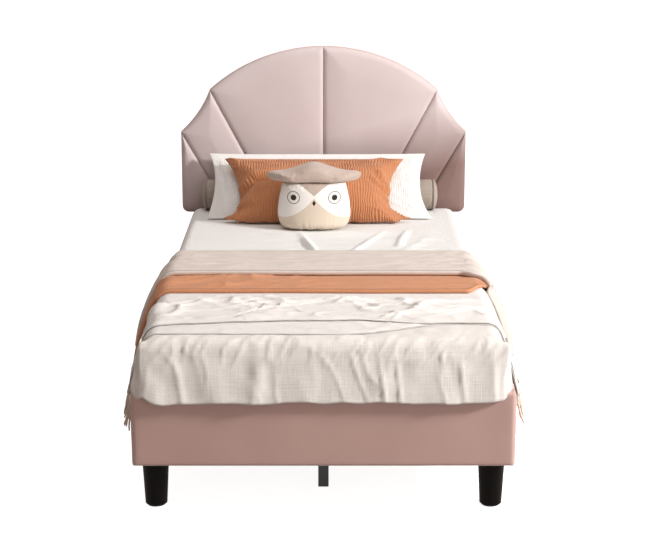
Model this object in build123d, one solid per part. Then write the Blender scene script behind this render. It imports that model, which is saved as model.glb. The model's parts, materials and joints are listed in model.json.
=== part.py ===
from build123d import *
import math
import os

# Single upholstered bed with a fan-panelled headboard, slatted base, mattress and bedding.
# Millimetres. The origin is on the floor under the middle of the bed, +Z up.
# The foot of the bed faces -Y, the headboard stands at +Y, and the bed lies along Y.

# Mattress and the room around it
mattress_width = 990.0
mattress_length = 1905.0
mattress_height = 203.0
mattress_corner_radius = 55.0
mattress_edge_radius = 38.0
sheet_thickness = 2.0
mattress_side_gap = 2.0
mattress_foot_gap = 2.0
mattress_head_gap = 3.0
mattress_recess = 68.0
seat_clearance = 0.3

# Rails: a board in a padded cover
board_thickness = 18.0
rail_outer_padding = 7.0
rail_edge_padding = 4.0
rail_inner_return = 3.0
rail_return_height = 38.0
rail_height = 210.0
rail_end_radius = 14.0
rail_edge_radius = 8.0

# Legs
leg_height = 130.0
leg_top_radius = 37.0
leg_foot_radius = 30.5
leg_foot_rounding = 4.0
leg_inset = 60.0
glide_thickness = 4.0
glide_radius = 24.0
glide_seat_depth = 1.5
stud_radius = 4.0
stud_clearance = 0.1
stud_depth_in_leg = 32.0
stud_depth_in_block = 22.0
leg_block_width = 92.0
leg_block_height = 30.0
leg_block_chamfer = 30.0

# Corner brackets and their bolts
bracket_width = 42.0
bracket_thickness = 3.0
bracket_height = 84.0
bracket_bend_radius = 4.0
bracket_lift = 38.0
bracket_bolt_pitch = 52.0
bolt_radius = 3.0
bolt_head_radius = 6.5
bolt_head_height = 3.6
bolt_socket_radius = 2.2
bolt_socket_depth = 2.0
bolt_length_in_board = 14.0
bolt_clearance = 0.15

# Slats and what carries them
slat_count = 12
slat_width = 68.0
slat_thickness = 12.0
slat_end_gap = 2.0
slat_edge_radius = 3.0
slat_first_inset = 62.0
cleat_width = 25.0
cleat_height = 25.0
cleat_end_inset = 48.0
beam_width = 30.0
beam_height = 40.0
beam_wall = 1.5
beam_corner_radius = 3.0
socket_wall = 2.5
socket_depth = 32.0
socket_flange = 18.0
socket_clearance = 0.2

# Centre legs under the beam
centre_leg_width = 30.0
centre_leg_wall = 1.5
centre_leg_corner_radius = 3.0
centre_leg_from_foot = 194.0
centre_leg_plate_length = 78.0
centre_leg_plate_thickness = 3.0
plug_depth = 18.0
plug_cap_thickness = 4.0
plug_clearance = 0.1
plug_edge_rounding = 1.5

# Headboard
headboard_overhang = 9.0
headboard_bottom_z = 450.0
headboard_side_z = 757.0
headboard_shoulder_inset = 110.0
headboard_top_z = 1075.0
headboard_arc_radius = 640.0
headboard_hollow_depth = 12.0
headboard_lower_corner_radius = 24.0
headboard_pad_depth = 28.0
headboard_board_thickness = 16.0
headboard_border_thickness = 4.0
headboard_back_cover_thickness = 1.0
headboard_back_cover_inset = 8.0
pad_front_radius = 11.0
pad_seam_gap = 0.6
pads_per_side = 3
post_width = 70.0
post_thickness = 22.0
post_x = 300.0
post_bottom_z = 142.0
post_top_z = 860.0
post_corner_radius = 12.0
post_bolt_radius = 4.0
post_bolt_clearance = 0.2
post_bolt_head_radius = 8.0
post_bolt_head_height = 5.0
post_bolt_rail_inset = 55.0
post_bolt_headboard_inset = 60.0
post_bolt_depth = 12.0

# Bedding laid over the mattress
cloth_gap = 0.8
drape_radius = 38.0
coverlet_thickness = 3.0
throw_thickness = 4.0
rust_thickness = 13.0
taupe_thickness = 15.0
side_drop = 222.0
foot_drop = 148.0
foot_flare_degrees = 17.0
apron_half_width = 496.0
apron_swing_degrees = 3.0
coverlet_front_inset = 44.0
coverlet_lap = 14.0
coverlet_side_drop = 150.0
coverlet_back = 652.0
throw_front_inset = 62.0
throw_side_drop = 182.0
throw_back = 612.0
fringe_length = 64.0
fringe_width = 6.0
fringe_pitch = 16.0
fringe_root = 3.0
fringe_tip_width = 3.0
rust_front = 514.0
rust_back = 860.0
taupe_front = 724.0
taupe_back = 1076.0
step_length = 34.0

# Cushions
bolster_length = 880.0
bolster_radius = 58.0
bolster_dome = 17.0
bolster_piping_radius = 3.2
bolster_piping_proud = 1.6
bolster_piping_clearance = 0.05
bolster_x = -14.0
bolster_wall_gap = 4.0
white_pillow_size = (812.0, 306.0)
white_pillow_x = -22.0
white_pillow_foot = (255.6, 2.1)
white_pillow_lean_degrees = 43.0
white_pillow_bulges = (20.0, 34.0)
rust_pillow_size = (672.0, 282.0)
rust_pillow_x = -34.0
rust_pillow_foot = (300.3, 1.7)
rust_pillow_lean_degrees = 47.0
rust_pillow_bulges = (92.0, 15.0)
pillow_rim = 4.0
pillow_drawn_ends = 26.0
pillow_drawn_sides = 11.0
owl_x = -33.0
owl_from_head = 402.0
owl_body_width = 264.0
owl_body_depth = 148.0
owl_body_height = 172.0
owl_cap_width = 336.0
owl_cap_height = 70.0
owl_cap_depth = 124.0
owl_cap_neck = 236.0
owl_ear_low = 4.0
owl_ear_high = 40.0
owl_ear_slant = 12.0
owl_ear_dip_share = 0.93
owl_dome_share = 0.62
owl_dome_rise_share = 0.96

# Places worked out from the sizes
rail_thickness = board_thickness + rail_outer_padding + rail_inner_return
headboard_depth = headboard_pad_depth + headboard_board_thickness + headboard_back_cover_thickness
outer_width = mattress_width + 2 * (mattress_side_gap + rail_thickness)
headboard_width = outer_width + 2 * headboard_overhang
headboard_shoulder_x = headboard_width / 2 - headboard_shoulder_inset
outer_length = rail_thickness + mattress_foot_gap + mattress_length + mattress_head_gap + headboard_depth
foot_y = -outer_length / 2
head_y = outer_length / 2
rail_bottom_z = leg_height
rail_top_z = rail_bottom_z + rail_height
board_inset = rail_outer_padding + board_thickness
board_inner_x = outer_width / 2 - board_inset
board_inner_foot_y = foot_y + board_inset
board_inner_head_y = head_y - board_inset
board_bottom_z = rail_bottom_z + rail_edge_padding
board_top_z = rail_top_z - rail_edge_padding
slat_top_z = rail_top_z - mattress_recess
slat_bottom_z = slat_top_z - slat_thickness
mattress_bottom_z = slat_top_z + seat_clearance
mattress_top_z = mattress_bottom_z + mattress_height
mattress_foot_y = foot_y + rail_thickness + mattress_foot_gap
mattress_head_y = mattress_foot_y + mattress_length
headboard_front_y = head_y - headboard_depth
pad_back_y = headboard_front_y + headboard_pad_depth
headboard_board_back_y = pad_back_y + headboard_board_thickness
beam_bottom_z = slat_bottom_z - beam_height
sides = {"left": -1, "right": 1}


def block(x_range, y_range, z_range):
    """A box between two corners, given as ranges."""
    size = [max(r) - min(r) for r in (x_range, y_range, z_range)]
    middle = [(max(r) + min(r)) / 2 for r in (x_range, y_range, z_range)]
    return Pos(*middle) * Box(*size)


def rod(radius, start, direction, length):
    """A round bar from a point along a direction."""
    plane = Plane(origin=start, z_dir=direction)
    return plane * Cylinder(radius, length, align=(Align.CENTER, Align.CENTER, Align.MIN))


def one_solid(shape):
    """The largest solid of a result, which drops stray slivers of a cut."""
    return max(shape.solids(), key=lambda s: s.volume)


def group(shapes):
    return Compound(children=list(shapes))


# Rails

def end_rail_board(face_y, inward):
    """The board of the foot or head rail, set back in its padded cover."""
    near = face_y + inward * rail_outer_padding
    far = near + inward * board_thickness
    half = outer_width / 2 - rail_outer_padding
    return block((-half, half), (near, far), (board_bottom_z, board_top_z))


def end_rail_cover(face_y, inward):
    """Padded cover round the foot or head rail, with rounded ends and a short return inside."""
    half = outer_width / 2
    inner_y = face_y + inward * rail_thickness
    shell = block((-half, half), (face_y, inner_y), (rail_bottom_z, rail_top_z))
    uprights = shell.edges().filter_by(Axis.Z).group_by(Axis.Y)[0 if inward > 0 else -1]
    shell = fillet(uprights, rail_end_radius)
    rims = [e for e in shell.edges() if abs(e.center().Y - inner_y) > seat_clearance
            and min(abs(e.center().Z - rail_top_z), abs(e.center().Z - rail_bottom_z)) < seat_clearance]
    shell = fillet(rims, rail_edge_radius)
    board_y = face_y + inward * board_inset
    shell -= end_rail_board(face_y, inward)
    window = block((-half, half), (board_y, inner_y), (rail_bottom_z, rail_top_z - rail_return_height))
    shell -= window
    for side in sides.values():
        beside = (side * board_inner_x, side * half)
        shell -= block(beside, (board_y, inner_y), (rail_bottom_z, rail_top_z))
    return one_solid(shell)


def side_rail_board(side):
    near = side * (outer_width / 2 - rail_outer_padding)
    far = side * board_inner_x
    return block((near, far), (board_inner_foot_y, board_inner_head_y), (board_bottom_z, board_top_z))


def side_rail_cover(side):
    """Padded cover along a side rail; it butts against the covers of the end rails."""
    outer = side * outer_width / 2
    inner = side * (outer_width / 2 - rail_thickness)
    run = (board_inner_foot_y, board_inner_head_y)
    shell = block((outer, inner), run, (rail_bottom_z, rail_top_z))
    long_edges = [e for e in shell.edges().filter_by(Axis.Y) if abs(e.center().X - outer) < seat_clearance]
    shell = fillet(long_edges, rail_edge_radius)
    shell -= side_rail_board(side)
    shell -= block((side * board_inner_x, inner), run, (rail_bottom_z, rail_top_z - rail_return_height))
    for end_y, inward in ((board_inner_foot_y, 1), (board_inner_head_y, -1)):
        beside = (end_y, end_y + inward * rail_inner_return)
        shell -= block((side * board_inner_x, inner), beside, (rail_bottom_z, rail_top_z))
    return one_solid(shell)


# Corners

def corners():
    """Each corner as its name, its side and the direction from its end rail into the bed."""
    for end, inward in (("front", 1), ("rear", -1)):
        for name, side in sides.items():
            yield f"{end}_{name}", side, inward


def leg_centre(side, inward):
    end_y = foot_y if inward > 0 else head_y
    return side * (outer_width / 2 - leg_inset), end_y + inward * leg_inset


def corner_point(side, inward):
    """Inside corner of the rail boards."""
    return side * board_inner_x, board_inner_foot_y if inward > 0 else board_inner_head_y


def leg(side, inward):
    """Tapered round leg, recessed under for its glide and bored for its stud."""
    foot_z = glide_thickness - glide_seat_depth
    with BuildPart() as part:
        with BuildSketch(Plane.XZ):
            with BuildLine():
                Polyline(
                    (0, foot_z),
                    (leg_foot_radius - leg_foot_rounding, foot_z),
                    (leg_foot_radius, foot_z + leg_foot_rounding),
                    (leg_top_radius, leg_height),
                    (0, leg_height),
                    close=True,
                )
            make_face()
        revolve(axis=Axis.Z)
    body = part.part
    body -= rod(glide_radius, (0, 0, 0), (0, 0, 1), glide_thickness)
    bore_depth = stud_depth_in_leg + stud_clearance
    body -= rod(stud_radius + stud_clearance, (0, 0, leg_height), (0, 0, -1), bore_depth)
    x, y = leg_centre(side, inward)
    return Pos(x, y, 0) * body


def leg_glide(side, inward):
    x, y = leg_centre(side, inward)
    return rod(glide_radius - stud_clearance, (x, y, 0), (0, 0, 1), glide_thickness)


def leg_stud(side, inward):
    x, y = leg_centre(side, inward)
    length = stud_depth_in_leg + stud_depth_in_block
    return rod(stud_radius, (x, y, leg_height - stud_depth_in_leg), (0, 0, 1), length)


def leg_block(side, inward):
    """Wooden block in the corner of the rails that takes the leg's stud, with its inner corner cut off."""
    x, y = corner_point(side, inward)
    far_x, far_y = x - side * leg_block_width, y + inward * leg_block_width
    body = block((x, far_x), (y, far_y), (rail_bottom_z, rail_bottom_z + leg_block_height))
    inner = [e for e in body.edges().filter_by(Axis.Z)
             if abs(e.center().X - far_x) < seat_clearance and abs(e.center().Y - far_y) < seat_clearance]
    body = chamfer(inner, leg_block_chamfer)
    cx, cy = leg_centre(side, inward)
    depth = stud_depth_in_block + stud_clearance
    return body - rod(stud_radius + stud_clearance, (cx, cy, rail_bottom_z), (0, 0, 1), depth)


def bracket_bolt_places(side, inward):
    """Each bolt of a corner bracket as the point where it enters its board, and its direction."""
    x, y = corner_point(side, inward)
    reach = (bracket_width + bracket_thickness) / 2
    middle_z = rail_bottom_z + bracket_lift + bracket_height / 2
    for dz in (-bracket_bolt_pitch / 2, bracket_bolt_pitch / 2):
        yield (x, y + inward * reach, middle_z + dz), (side, 0, 0)
        yield (x - side * reach, y, middle_z + dz), (0, -inward, 0)


def corner_bracket(side, inward):
    """Bent steel angle that joins a side rail to an end rail, with two bolt holes in each leg."""
    x, y = corner_point(side, inward)
    low = rail_bottom_z + bracket_lift
    heights = (low, low + bracket_height)
    body = block((x, x - side * bracket_width), (y, y + inward * bracket_width), heights)
    near_x, near_y = x - side * bracket_thickness, y + inward * bracket_thickness
    far_x, far_y = x - side * bracket_width, y + inward * bracket_width
    hollow = block((near_x, far_x), (near_y, far_y), heights)
    inner = [e for e in hollow.edges().filter_by(Axis.Z)
             if abs(e.center().X - near_x) < seat_clearance and abs(e.center().Y - near_y) < seat_clearance]
    body -= fillet(inner, bracket_bend_radius)
    for point, direction in bracket_bolt_places(side, inward):
        start = tuple(p - d * bracket_thickness for p, d in zip(point, direction))
        body -= rod(bolt_radius + bolt_clearance, start, direction, bracket_thickness)
    return one_solid(body)


def bolt(point, direction, grip, depth, radius, head_radius, head_height):
    """A button-head bolt whose head bears at grip before the point and whose shank ends depth beyond it."""
    seat = tuple(p - d * grip for p, d in zip(point, direction))
    back = tuple(-d for d in direction)
    body = rod(radius, seat, direction, grip + depth) + rod(head_radius, seat, back, head_height)
    top = tuple(p - d * head_height for p, d in zip(seat, direction))
    plane = Plane(origin=top, z_dir=direction)
    socket = plane * extrude(RegularPolygon(bolt_socket_radius, 6), bolt_socket_depth)
    return body - socket


def corner_bolts():
    for _, side, inward in corners():
        for point, direction in bracket_bolt_places(side, inward):
            yield bolt(point, direction, bracket_thickness, bolt_length_in_board,
                       bolt_radius, bolt_head_radius, bolt_head_height)


def bored_for_bolts(board, places, radius, depth):
    """A board with a blind hole for each bolt that enters it."""
    for point, direction in places:
        board -= rod(radius, point, direction, depth)
    return board


# Headboard

def headboard_outline(inset):
    """Face of the headboard seen from the front, in the XZ plane at Y zero, inset all round."""
    half = headboard_width / 2
    centre_z = headboard_top_z - headboard_arc_radius
    shoulder_z = centre_z + math.sqrt(headboard_arc_radius ** 2 - headboard_shoulder_x ** 2)
    side_point = (half, headboard_side_z)
    shoulder = (headboard_shoulder_x, shoulder_z)
    run = math.hypot(half - headboard_shoulder_x, shoulder_z - headboard_side_z)
    normal = (-(shoulder_z - headboard_side_z) / run, -(half - headboard_shoulder_x) / run)
    hollow = (
        (side_point[0] + shoulder[0]) / 2 + headboard_hollow_depth * normal[0],
        (side_point[1] + shoulder[1]) / 2 + headboard_hollow_depth * normal[1],
    )
    with BuildSketch() as outline:
        with BuildLine():
            Line((-half, headboard_bottom_z), (half, headboard_bottom_z))
            Line((half, headboard_bottom_z), side_point)
            ThreePointArc(side_point, hollow, shoulder)
            ThreePointArc(shoulder, (0, headboard_top_z), (-shoulder[0], shoulder_z))
            ThreePointArc((-shoulder[0], shoulder_z), (-hollow[0], hollow[1]), (-half, headboard_side_z))
            Line((-half, headboard_side_z), (-half, headboard_bottom_z))
        make_face()
        low = [v for v in outline.vertices() if abs(v.Y - headboard_bottom_z) < seat_clearance]
        fillet(low, headboard_lower_corner_radius)
        if inset:
            offset(amount=-inset, kind=Kind.INTERSECTION, mode=Mode.REPLACE)
    return outline.sketch


def upright(sketch, front_y, back_y):
    """A front-view sketch extruded between two Y places."""
    standing = Plane(origin=(0, front_y, 0), x_dir=(1, 0, 0), z_dir=(0, -1, 0)) * sketch
    return extrude(standing, back_y - front_y, dir=(0, 1, 0))


def seam_line(index, shift):
    """The seam with that index from the middle, moved sideways and drawn long past the outline."""
    half = headboard_width / 2
    centre_z = headboard_top_z - headboard_arc_radius
    shoulder_z = centre_z + math.sqrt(headboard_arc_radius ** 2 - headboard_shoulder_x ** 2)
    tops = ((0, headboard_top_z), (headboard_shoulder_x, shoulder_z), (half, headboard_side_z))
    low = (index * half / pads_per_side, headboard_bottom_z)
    top = tops[index]
    run = math.hypot(top[0] - low[0], top[1] - low[1])
    along = ((top[0] - low[0]) / run, (top[1] - low[1]) / run)
    start = (low[0] + along[1] * shift, low[1] - along[0] * shift)
    return [(start[0] + t * along[0], start[1] + t * along[1]) for t in (-headboard_width, headboard_width)]


def headboard_pad(side, index):
    """One padded panel of the fan, between two seams, with its front edges rolled over."""
    near, far = seam_line(index, pad_seam_gap / 2)
    if index + 1 < pads_per_side:
        beside, beyond = seam_line(index + 1, -pad_seam_gap / 2)
    else:
        beside, beyond = seam_line(index, headboard_width)
    wedge = make_face(Polyline(near, far, beyond, beside, close=True))
    cell = max((headboard_outline(0) & wedge).faces(), key=lambda f: f.area)
    if side < 0:
        cell = mirror(cell, about=Plane.YZ)
    body = one_solid(upright(cell, headboard_front_y, pad_back_y))
    front = body.edges().filter_by(lambda e: abs(e.center().Y - headboard_front_y) < seat_clearance)
    return one_solid(fillet(front, pad_front_radius))


def post_bolt_places():
    """Each bolt of the headboard posts as the point where it enters the post from behind."""
    back_y = head_y + post_thickness
    heights = (
        rail_bottom_z + post_bolt_rail_inset,
        rail_top_z - post_bolt_rail_inset,
        headboard_bottom_z + post_bolt_headboard_inset,
        (headboard_bottom_z + post_top_z) / 2,
        post_top_z - post_bolt_headboard_inset,
    )
    for side in sides.values():
        for z in heights:
            yield (side * post_x, back_y, z), (0, -1, 0)


def post_bolts():
    for point, direction in post_bolt_places():
        yield bolt(point, direction, 0, post_thickness + headboard_back_cover_thickness + post_bolt_depth,
                   post_bolt_radius, post_bolt_head_radius, post_bolt_head_height)


def cut_post_bolts(body):
    """Clearance holes for the post bolts through whatever they pass."""
    depth = post_thickness + headboard_back_cover_thickness + post_bolt_depth + post_bolt_clearance
    for point, direction in post_bolt_places():
        body -= rod(post_bolt_radius + post_bolt_clearance, point, direction, depth)
    return body


def headboard_board():
    body = upright(headboard_outline(headboard_border_thickness), pad_back_y, headboard_board_back_y)
    return one_solid(cut_post_bolts(body))


def headboard_border():
    """Padded strip round the edge of the headboard's board."""
    outer = upright(headboard_outline(0), pad_back_y, headboard_board_back_y)
    inner = upright(headboard_outline(headboard_border_thickness), pad_back_y, headboard_board_back_y)
    return one_solid(outer - inner)


def headboard_back_cover():
    body = upright(headboard_outline(headboard_back_cover_inset), headboard_board_back_y, head_y)
    return one_solid(cut_post_bolts(body))


def headboard_post(side):
    """Wooden upright behind the headboard, bolted to it and to the head rail."""
    x = side * post_x
    half = post_width / 2
    body = block((x - half, x + half), (head_y, head_y + post_thickness), (post_bottom_z, post_top_z))
    body = fillet(body.edges().filter_by(Axis.Y), post_corner_radius)
    return one_solid(cut_post_bolts(body))


# Slats and the centre beam

def slat_centre_y(index):
    first = board_inner_foot_y + slat_first_inset + slat_width / 2
    last = board_inner_head_y - slat_first_inset - slat_width / 2
    return first + (last - first) * index / (slat_count - 1)


def slat(index):
    half_length = board_inner_x - slat_end_gap
    y = slat_centre_y(index)
    body = block(
        (-half_length, half_length),
        (y - slat_width / 2, y + slat_width / 2),
        (slat_bottom_z, slat_top_z),
    )
    return fillet(body.edges().filter_by(Axis.X), slat_edge_radius)


def slat_cleat(side):
    """Ledger strip on the inside of a side rail that the slats rest on."""
    inner = side * (board_inner_x - cleat_width)
    run = (board_inner_foot_y + cleat_end_inset, board_inner_head_y - cleat_end_inset)
    return block((side * board_inner_x, inner), run, (slat_bottom_z - cleat_height, slat_bottom_z))


def tube(width, depth, wall, corner, length, start, direction, x_dir):
    """A rectangular tube with rounded corners, from a point along a direction."""
    plane = Plane(origin=start, x_dir=x_dir, z_dir=direction)
    outside = RectangleRounded(width, depth, corner)
    inside = RectangleRounded(width - 2 * wall, depth - 2 * wall, corner - wall)
    return extrude(plane * (outside - inside), length)


def centre_beam():
    start = (0, board_inner_foot_y + socket_wall, slat_bottom_z - beam_height / 2)
    length = board_inner_head_y - board_inner_foot_y - 2 * socket_wall
    return tube(beam_width, beam_height, beam_wall, beam_corner_radius, length, start, (0, 1, 0), (1, 0, 0))


def beam_socket(end_y, inward):
    """Pressed steel cradle on an end rail that holds the end of the beam from below and both sides."""
    half = beam_width / 2 + socket_clearance
    low = beam_bottom_z - socket_clearance
    reach = end_y + inward * socket_depth
    heights = (low - socket_wall, slat_bottom_z)
    cradle = block((-half - socket_wall, half + socket_wall), (end_y, reach), heights)
    cradle -= block((-half, half), (end_y + inward * socket_wall, reach), (low, slat_bottom_z))
    flange_half = half + socket_wall + socket_flange
    flange = block((-flange_half, flange_half), (end_y, end_y + inward * socket_wall), heights)
    return one_solid(cradle + flange)


def centre_leg_places():
    first = foot_y + centre_leg_from_foot + centre_leg_width / 2
    return first, 0, -first


def centre_leg(y):
    """Square steel tube welded to a plate under the beam."""
    low = plug_cap_thickness
    length = beam_bottom_z - centre_leg_plate_thickness - low
    body = tube(centre_leg_width, centre_leg_width, centre_leg_wall, centre_leg_corner_radius, length,
                (0, y, low), (0, 0, 1), (1, 0, 0))
    half_x, half_y = beam_width / 2, centre_leg_plate_length / 2
    plate = block((-half_x, half_x), (y - half_y, y + half_y),
                  (beam_bottom_z - centre_leg_plate_thickness, beam_bottom_z))
    return one_solid(body + plate)


def centre_leg_plug(y):
    """Plastic plug in the end of a centre leg; its cap stands on the floor."""
    inner = centre_leg_width - 2 * (centre_leg_wall + plug_clearance)
    cap_outline = RectangleRounded(centre_leg_width, centre_leg_width, centre_leg_corner_radius)
    body_outline = RectangleRounded(inner, inner, centre_leg_corner_radius - centre_leg_wall)
    cap = Pos(0, y, 0) * extrude(cap_outline, plug_cap_thickness)
    cap = fillet(cap.faces().sort_by(Axis.Z)[0].edges(), plug_edge_rounding)
    return one_solid(cap + Pos(0, y, plug_cap_thickness) * extrude(body_outline, plug_depth))


# Mattress and cloth

def rounded_slab(half_x, y_range, z_range, corner, edge):
    body = block((-half_x, half_x), y_range, z_range)
    body = fillet(body.edges().filter_by(Axis.Z), corner)
    flat = [e for e in body.edges()
            if min(abs(e.center().Z - z_range[0]), abs(e.center().Z - z_range[1])) < seat_clearance]
    return one_solid(fillet(flat, edge))


def mattress():
    half = mattress_width / 2 - sheet_thickness
    run = (mattress_foot_y + sheet_thickness, mattress_head_y - sheet_thickness)
    heights = (mattress_bottom_z, mattress_top_z - sheet_thickness)
    return rounded_slab(half, run, heights, mattress_corner_radius - sheet_thickness,
                        mattress_edge_radius - sheet_thickness)


def fitted_sheet():
    """Sheet over the top and sides of the mattress, open underneath."""
    outer = rounded_slab(
        mattress_width / 2,
        (mattress_foot_y, mattress_head_y),
        (mattress_bottom_z - sheet_thickness, mattress_top_z),
        mattress_corner_radius,
        mattress_edge_radius,
    )
    below = mattress_bottom_z + mattress_edge_radius
    shell = outer - mattress()
    shell -= block((-mattress_width, mattress_width), (-mattress_length, mattress_length),
                   (mattress_bottom_z - mattress_edge_radius, below))
    return one_solid(shell)


# How far the hanging sides stand out, along the bed: share of the mattress's length from its
# foot, then degrees of flare just under the mattress's edge and at the hem, left and right.
fold_shares = (0.00, 0.05, 0.10, 0.15, 0.20, 0.26, 0.32, 0.38, 0.44, 0.50, 0.57)
fold_flares = (
    (20, 11, 21, 11),
    (20, 11, 20, 12),
    (23, 10, 22, 11),
    (26, 12, 26, 10),
    (28, 9, 29, 12),
    (30, 8, 30, 6),
    (31, 4, 32, 6),
    (34, 4, 34, 5),
    (35, 8, 35, 7),
    (34, 5, 34, 8),
    (36, 8, 35, 7),
)


def flares_at(share):
    for k in range(len(fold_shares) - 1):
        a, b = fold_shares[k], fold_shares[k + 1]
        if share <= b:
            t = (share - a) / (b - a)
            return [p + (q - p) * t for p, q in zip(fold_flares[k], fold_flares[k + 1])]
    return fold_flares[-1]


def hanging_edge(half_flat, centre_z, radius, flares, drop):
    """Points down one side of a hanging cloth, at a radius about the mattress's edge."""
    top, low = (math.radians(90 - a) for a in flares)
    shoulder_mid = (half_flat + radius * math.sin(top / 2), centre_z + radius * math.cos(top / 2))
    shoulder = (half_flat + radius * math.sin(top), centre_z + radius * math.cos(top))
    bend = drop / (low - top)
    offset_in_bend = radius - drape_radius
    bend += offset_in_bend
    turn_centre = (shoulder[0] - bend * math.sin(top), shoulder[1] - bend * math.cos(top))
    middle = (top + low) / 2
    mid = (turn_centre[0] + bend * math.sin(middle), turn_centre[1] + bend * math.cos(middle))
    hem = (turn_centre[0] + bend * math.sin(low), turn_centre[1] + bend * math.cos(low))
    return [(half_flat, centre_z + radius), shoulder_mid, shoulder, mid, hem]


def drape_section(place_y, lift, thickness, drop, flares):
    """Closed section of a cloth across the bed at one Y place."""
    half_flat = mattress_width / 2 - drape_radius
    centre_z = mattress_top_z - drape_radius
    edges = []
    ends = {}
    for layer, radius in (("in", drape_radius + lift), ("out", drape_radius + lift + thickness)):
        for side, pair in ((-1, flares[:2]), (1, flares[2:])):
            points = hanging_edge(half_flat, centre_z, radius, pair, drop)
            start, a_mid, a_end, b_mid, b_end = [(side * p[0], p[1]) for p in points]
            edges.append(ThreePointArc(start, a_mid, a_end))
            edges.append(ThreePointArc(a_end, b_mid, b_end))
            ends[layer, side] = (start, b_end)
        edges.append(Line(ends[layer, -1][0], ends[layer, 1][0]))
    for side in (-1, 1):
        edges.append(Line(ends["in", side][1], ends["out", side][1]))
    face = make_face(edges)
    return Plane(origin=(0, place_y, 0), x_dir=(1, 0, 0), z_dir=(0, -1, 0)) * face


def draped_band(front, back, thickness, drop, lifts):
    """Cloth laid across the bed between two distances from the mattress's foot. lifts pairs a
    distance with the height of the cloth's underside over the mattress there."""
    places = {front, back, *(d for d, _ in lifts if front < d < back)}
    places |= {s * mattress_length for s in fold_shares if front < s * mattress_length < back}
    sections = []
    for distance in sorted(places):
        lift = lifts[-1][1]
        for (d0, l0), (d1, l1) in zip(lifts, lifts[1:]):
            if d0 <= distance <= d1:
                lift = l0 + (l1 - l0) * (distance - d0) / (d1 - d0)
                break
        if distance < lifts[0][0]:
            lift = lifts[0][1]
        flares = flares_at(distance / mattress_length)
        sections.append(drape_section(mattress_foot_y + distance, lift, thickness, drop, flares))
    return one_solid(loft(sections, ruled=True))


# Sideways places and forward swings of the folds in the coverlet's foot drop, as shares.
apron_shares = (-1.0, -0.86, -0.72, -0.5, -0.3, -0.06, 0.1, 0.3, 0.52, 0.74, 0.88, 1.0)
apron_swing_shares = (0.2, 1.0, 0.1, 0.8, 0.2, 0.7, 0.1, 0.9, 0.2, 0.8, 0.1, 0.6)


def apron_section(share, swing):
    """Closed section of the coverlet's foot end, on the YZ plane at one X place."""
    flat_y = mattress_foot_y + drape_radius
    centre_z = mattress_top_z - drape_radius
    start_y = mattress_foot_y + coverlet_front_inset + coverlet_lap
    angle = math.radians(90 - foot_flare_degrees - swing * apron_swing_degrees)
    edges = []
    ends = []
    for radius in (drape_radius + cloth_gap, drape_radius + cloth_gap + coverlet_thickness):
        top = (flat_y, centre_z + radius)
        mid = (flat_y - radius * math.sin(angle / 2), centre_z + radius * math.cos(angle / 2))
        low = (flat_y - radius * math.sin(angle), centre_z + radius * math.cos(angle))
        hem = (low[0] - foot_drop * math.cos(angle), low[1] - foot_drop * math.sin(angle))
        edges += [Line((start_y, top[1]), top), ThreePointArc(top, mid, low), Line(low, hem)]
        ends.append(((start_y, top[1]), hem))
    edges += [Line(ends[0][0], ends[1][0]), Line(ends[0][1], ends[1][1])]
    face = make_face(edges)
    return Plane(origin=(share * apron_half_width, 0, 0), x_dir=(0, 1, 0), z_dir=(1, 0, 0)) * face


def coverlet():
    """Linen coverlet over the foot half: one band across the bed and an apron hanging over the foot."""
    apron = loft([apron_section(s, w) for s, w in zip(apron_shares, apron_swing_shares)], ruled=True)
    band = draped_band(coverlet_front_inset, coverlet_back, coverlet_thickness, coverlet_side_drop,
                       [(coverlet_front_inset, cloth_gap)])
    return one_solid(band + apron)


# Lengths of neighbouring fringe strands, as shares.
fringe_length_shares = (1.0, 0.86, 0.97, 0.78, 0.93)
# How much of the hem's flare the strands keep.
fringe_hang_share = 0.1


def fringe_strand(index, side):
    """One knotted strand that goes on from the throw's side hem."""
    distance = throw_front_inset + fringe_width + index * fringe_pitch
    flares = flares_at(distance / mattress_length)
    pair = flares[:2] if side < 0 else flares[2:]
    lift = 2 * cloth_gap + coverlet_thickness
    half_flat = mattress_width / 2 - drape_radius
    centre_z = mattress_top_z - drape_radius
    radii = (drape_radius + lift, drape_radius + lift + throw_thickness)
    inner, outer = (hanging_edge(half_flat, centre_z, r, pair, throw_side_drop)[-1] for r in radii)
    hang = math.radians(pair[1] * fringe_hang_share)
    along = (math.sin(hang), -math.cos(hang))
    length = fringe_length * fringe_length_shares[index % len(fringe_length_shares)]
    narrow = fringe_tip_width / throw_thickness
    tip_in = tuple(i + length * a for i, a in zip(inner, along))
    tip_out = tuple(i + (o - i) * narrow + length * a for i, o, a in zip(inner, outer, along))
    root_in = tuple(i - fringe_root * a for i, a in zip(inner, along))
    root_out = tuple(o - fringe_root * a for o, a in zip(outer, along))
    corners_xz = [(side * q[0], q[1]) for q in (root_in, root_out, tip_out, tip_in)]
    face = make_face(Polyline(*corners_xz, close=True))
    y = mattress_foot_y + distance
    return upright(face, y, y + fringe_width)


def fringed_throw():
    """Woven throw across the bed with a fringe along both hanging sides."""
    lift = 2 * cloth_gap + coverlet_thickness
    body = draped_band(throw_front_inset, throw_back, throw_thickness, throw_side_drop,
                       [(throw_front_inset, lift)])
    count = int((rust_front - throw_front_inset - fringe_pitch) / fringe_pitch)
    strands = [fringe_strand(k, side) for side in sides.values() for k in range(count)]
    return one_solid(body.fuse(*strands))


def white_layers_lift():
    return 3 * cloth_gap + coverlet_thickness + throw_thickness


def rust_blanket():
    """Folded blanket: its front lies on the white layers and its back on the sheet."""
    high = white_layers_lift()
    lifts = [
        (rust_front, high),
        (coverlet_back + cloth_gap, high),
        (coverlet_back + cloth_gap + step_length, cloth_gap),
        (rust_back, cloth_gap),
    ]
    return draped_band(rust_front, rust_back, rust_thickness, side_drop, lifts)


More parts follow.
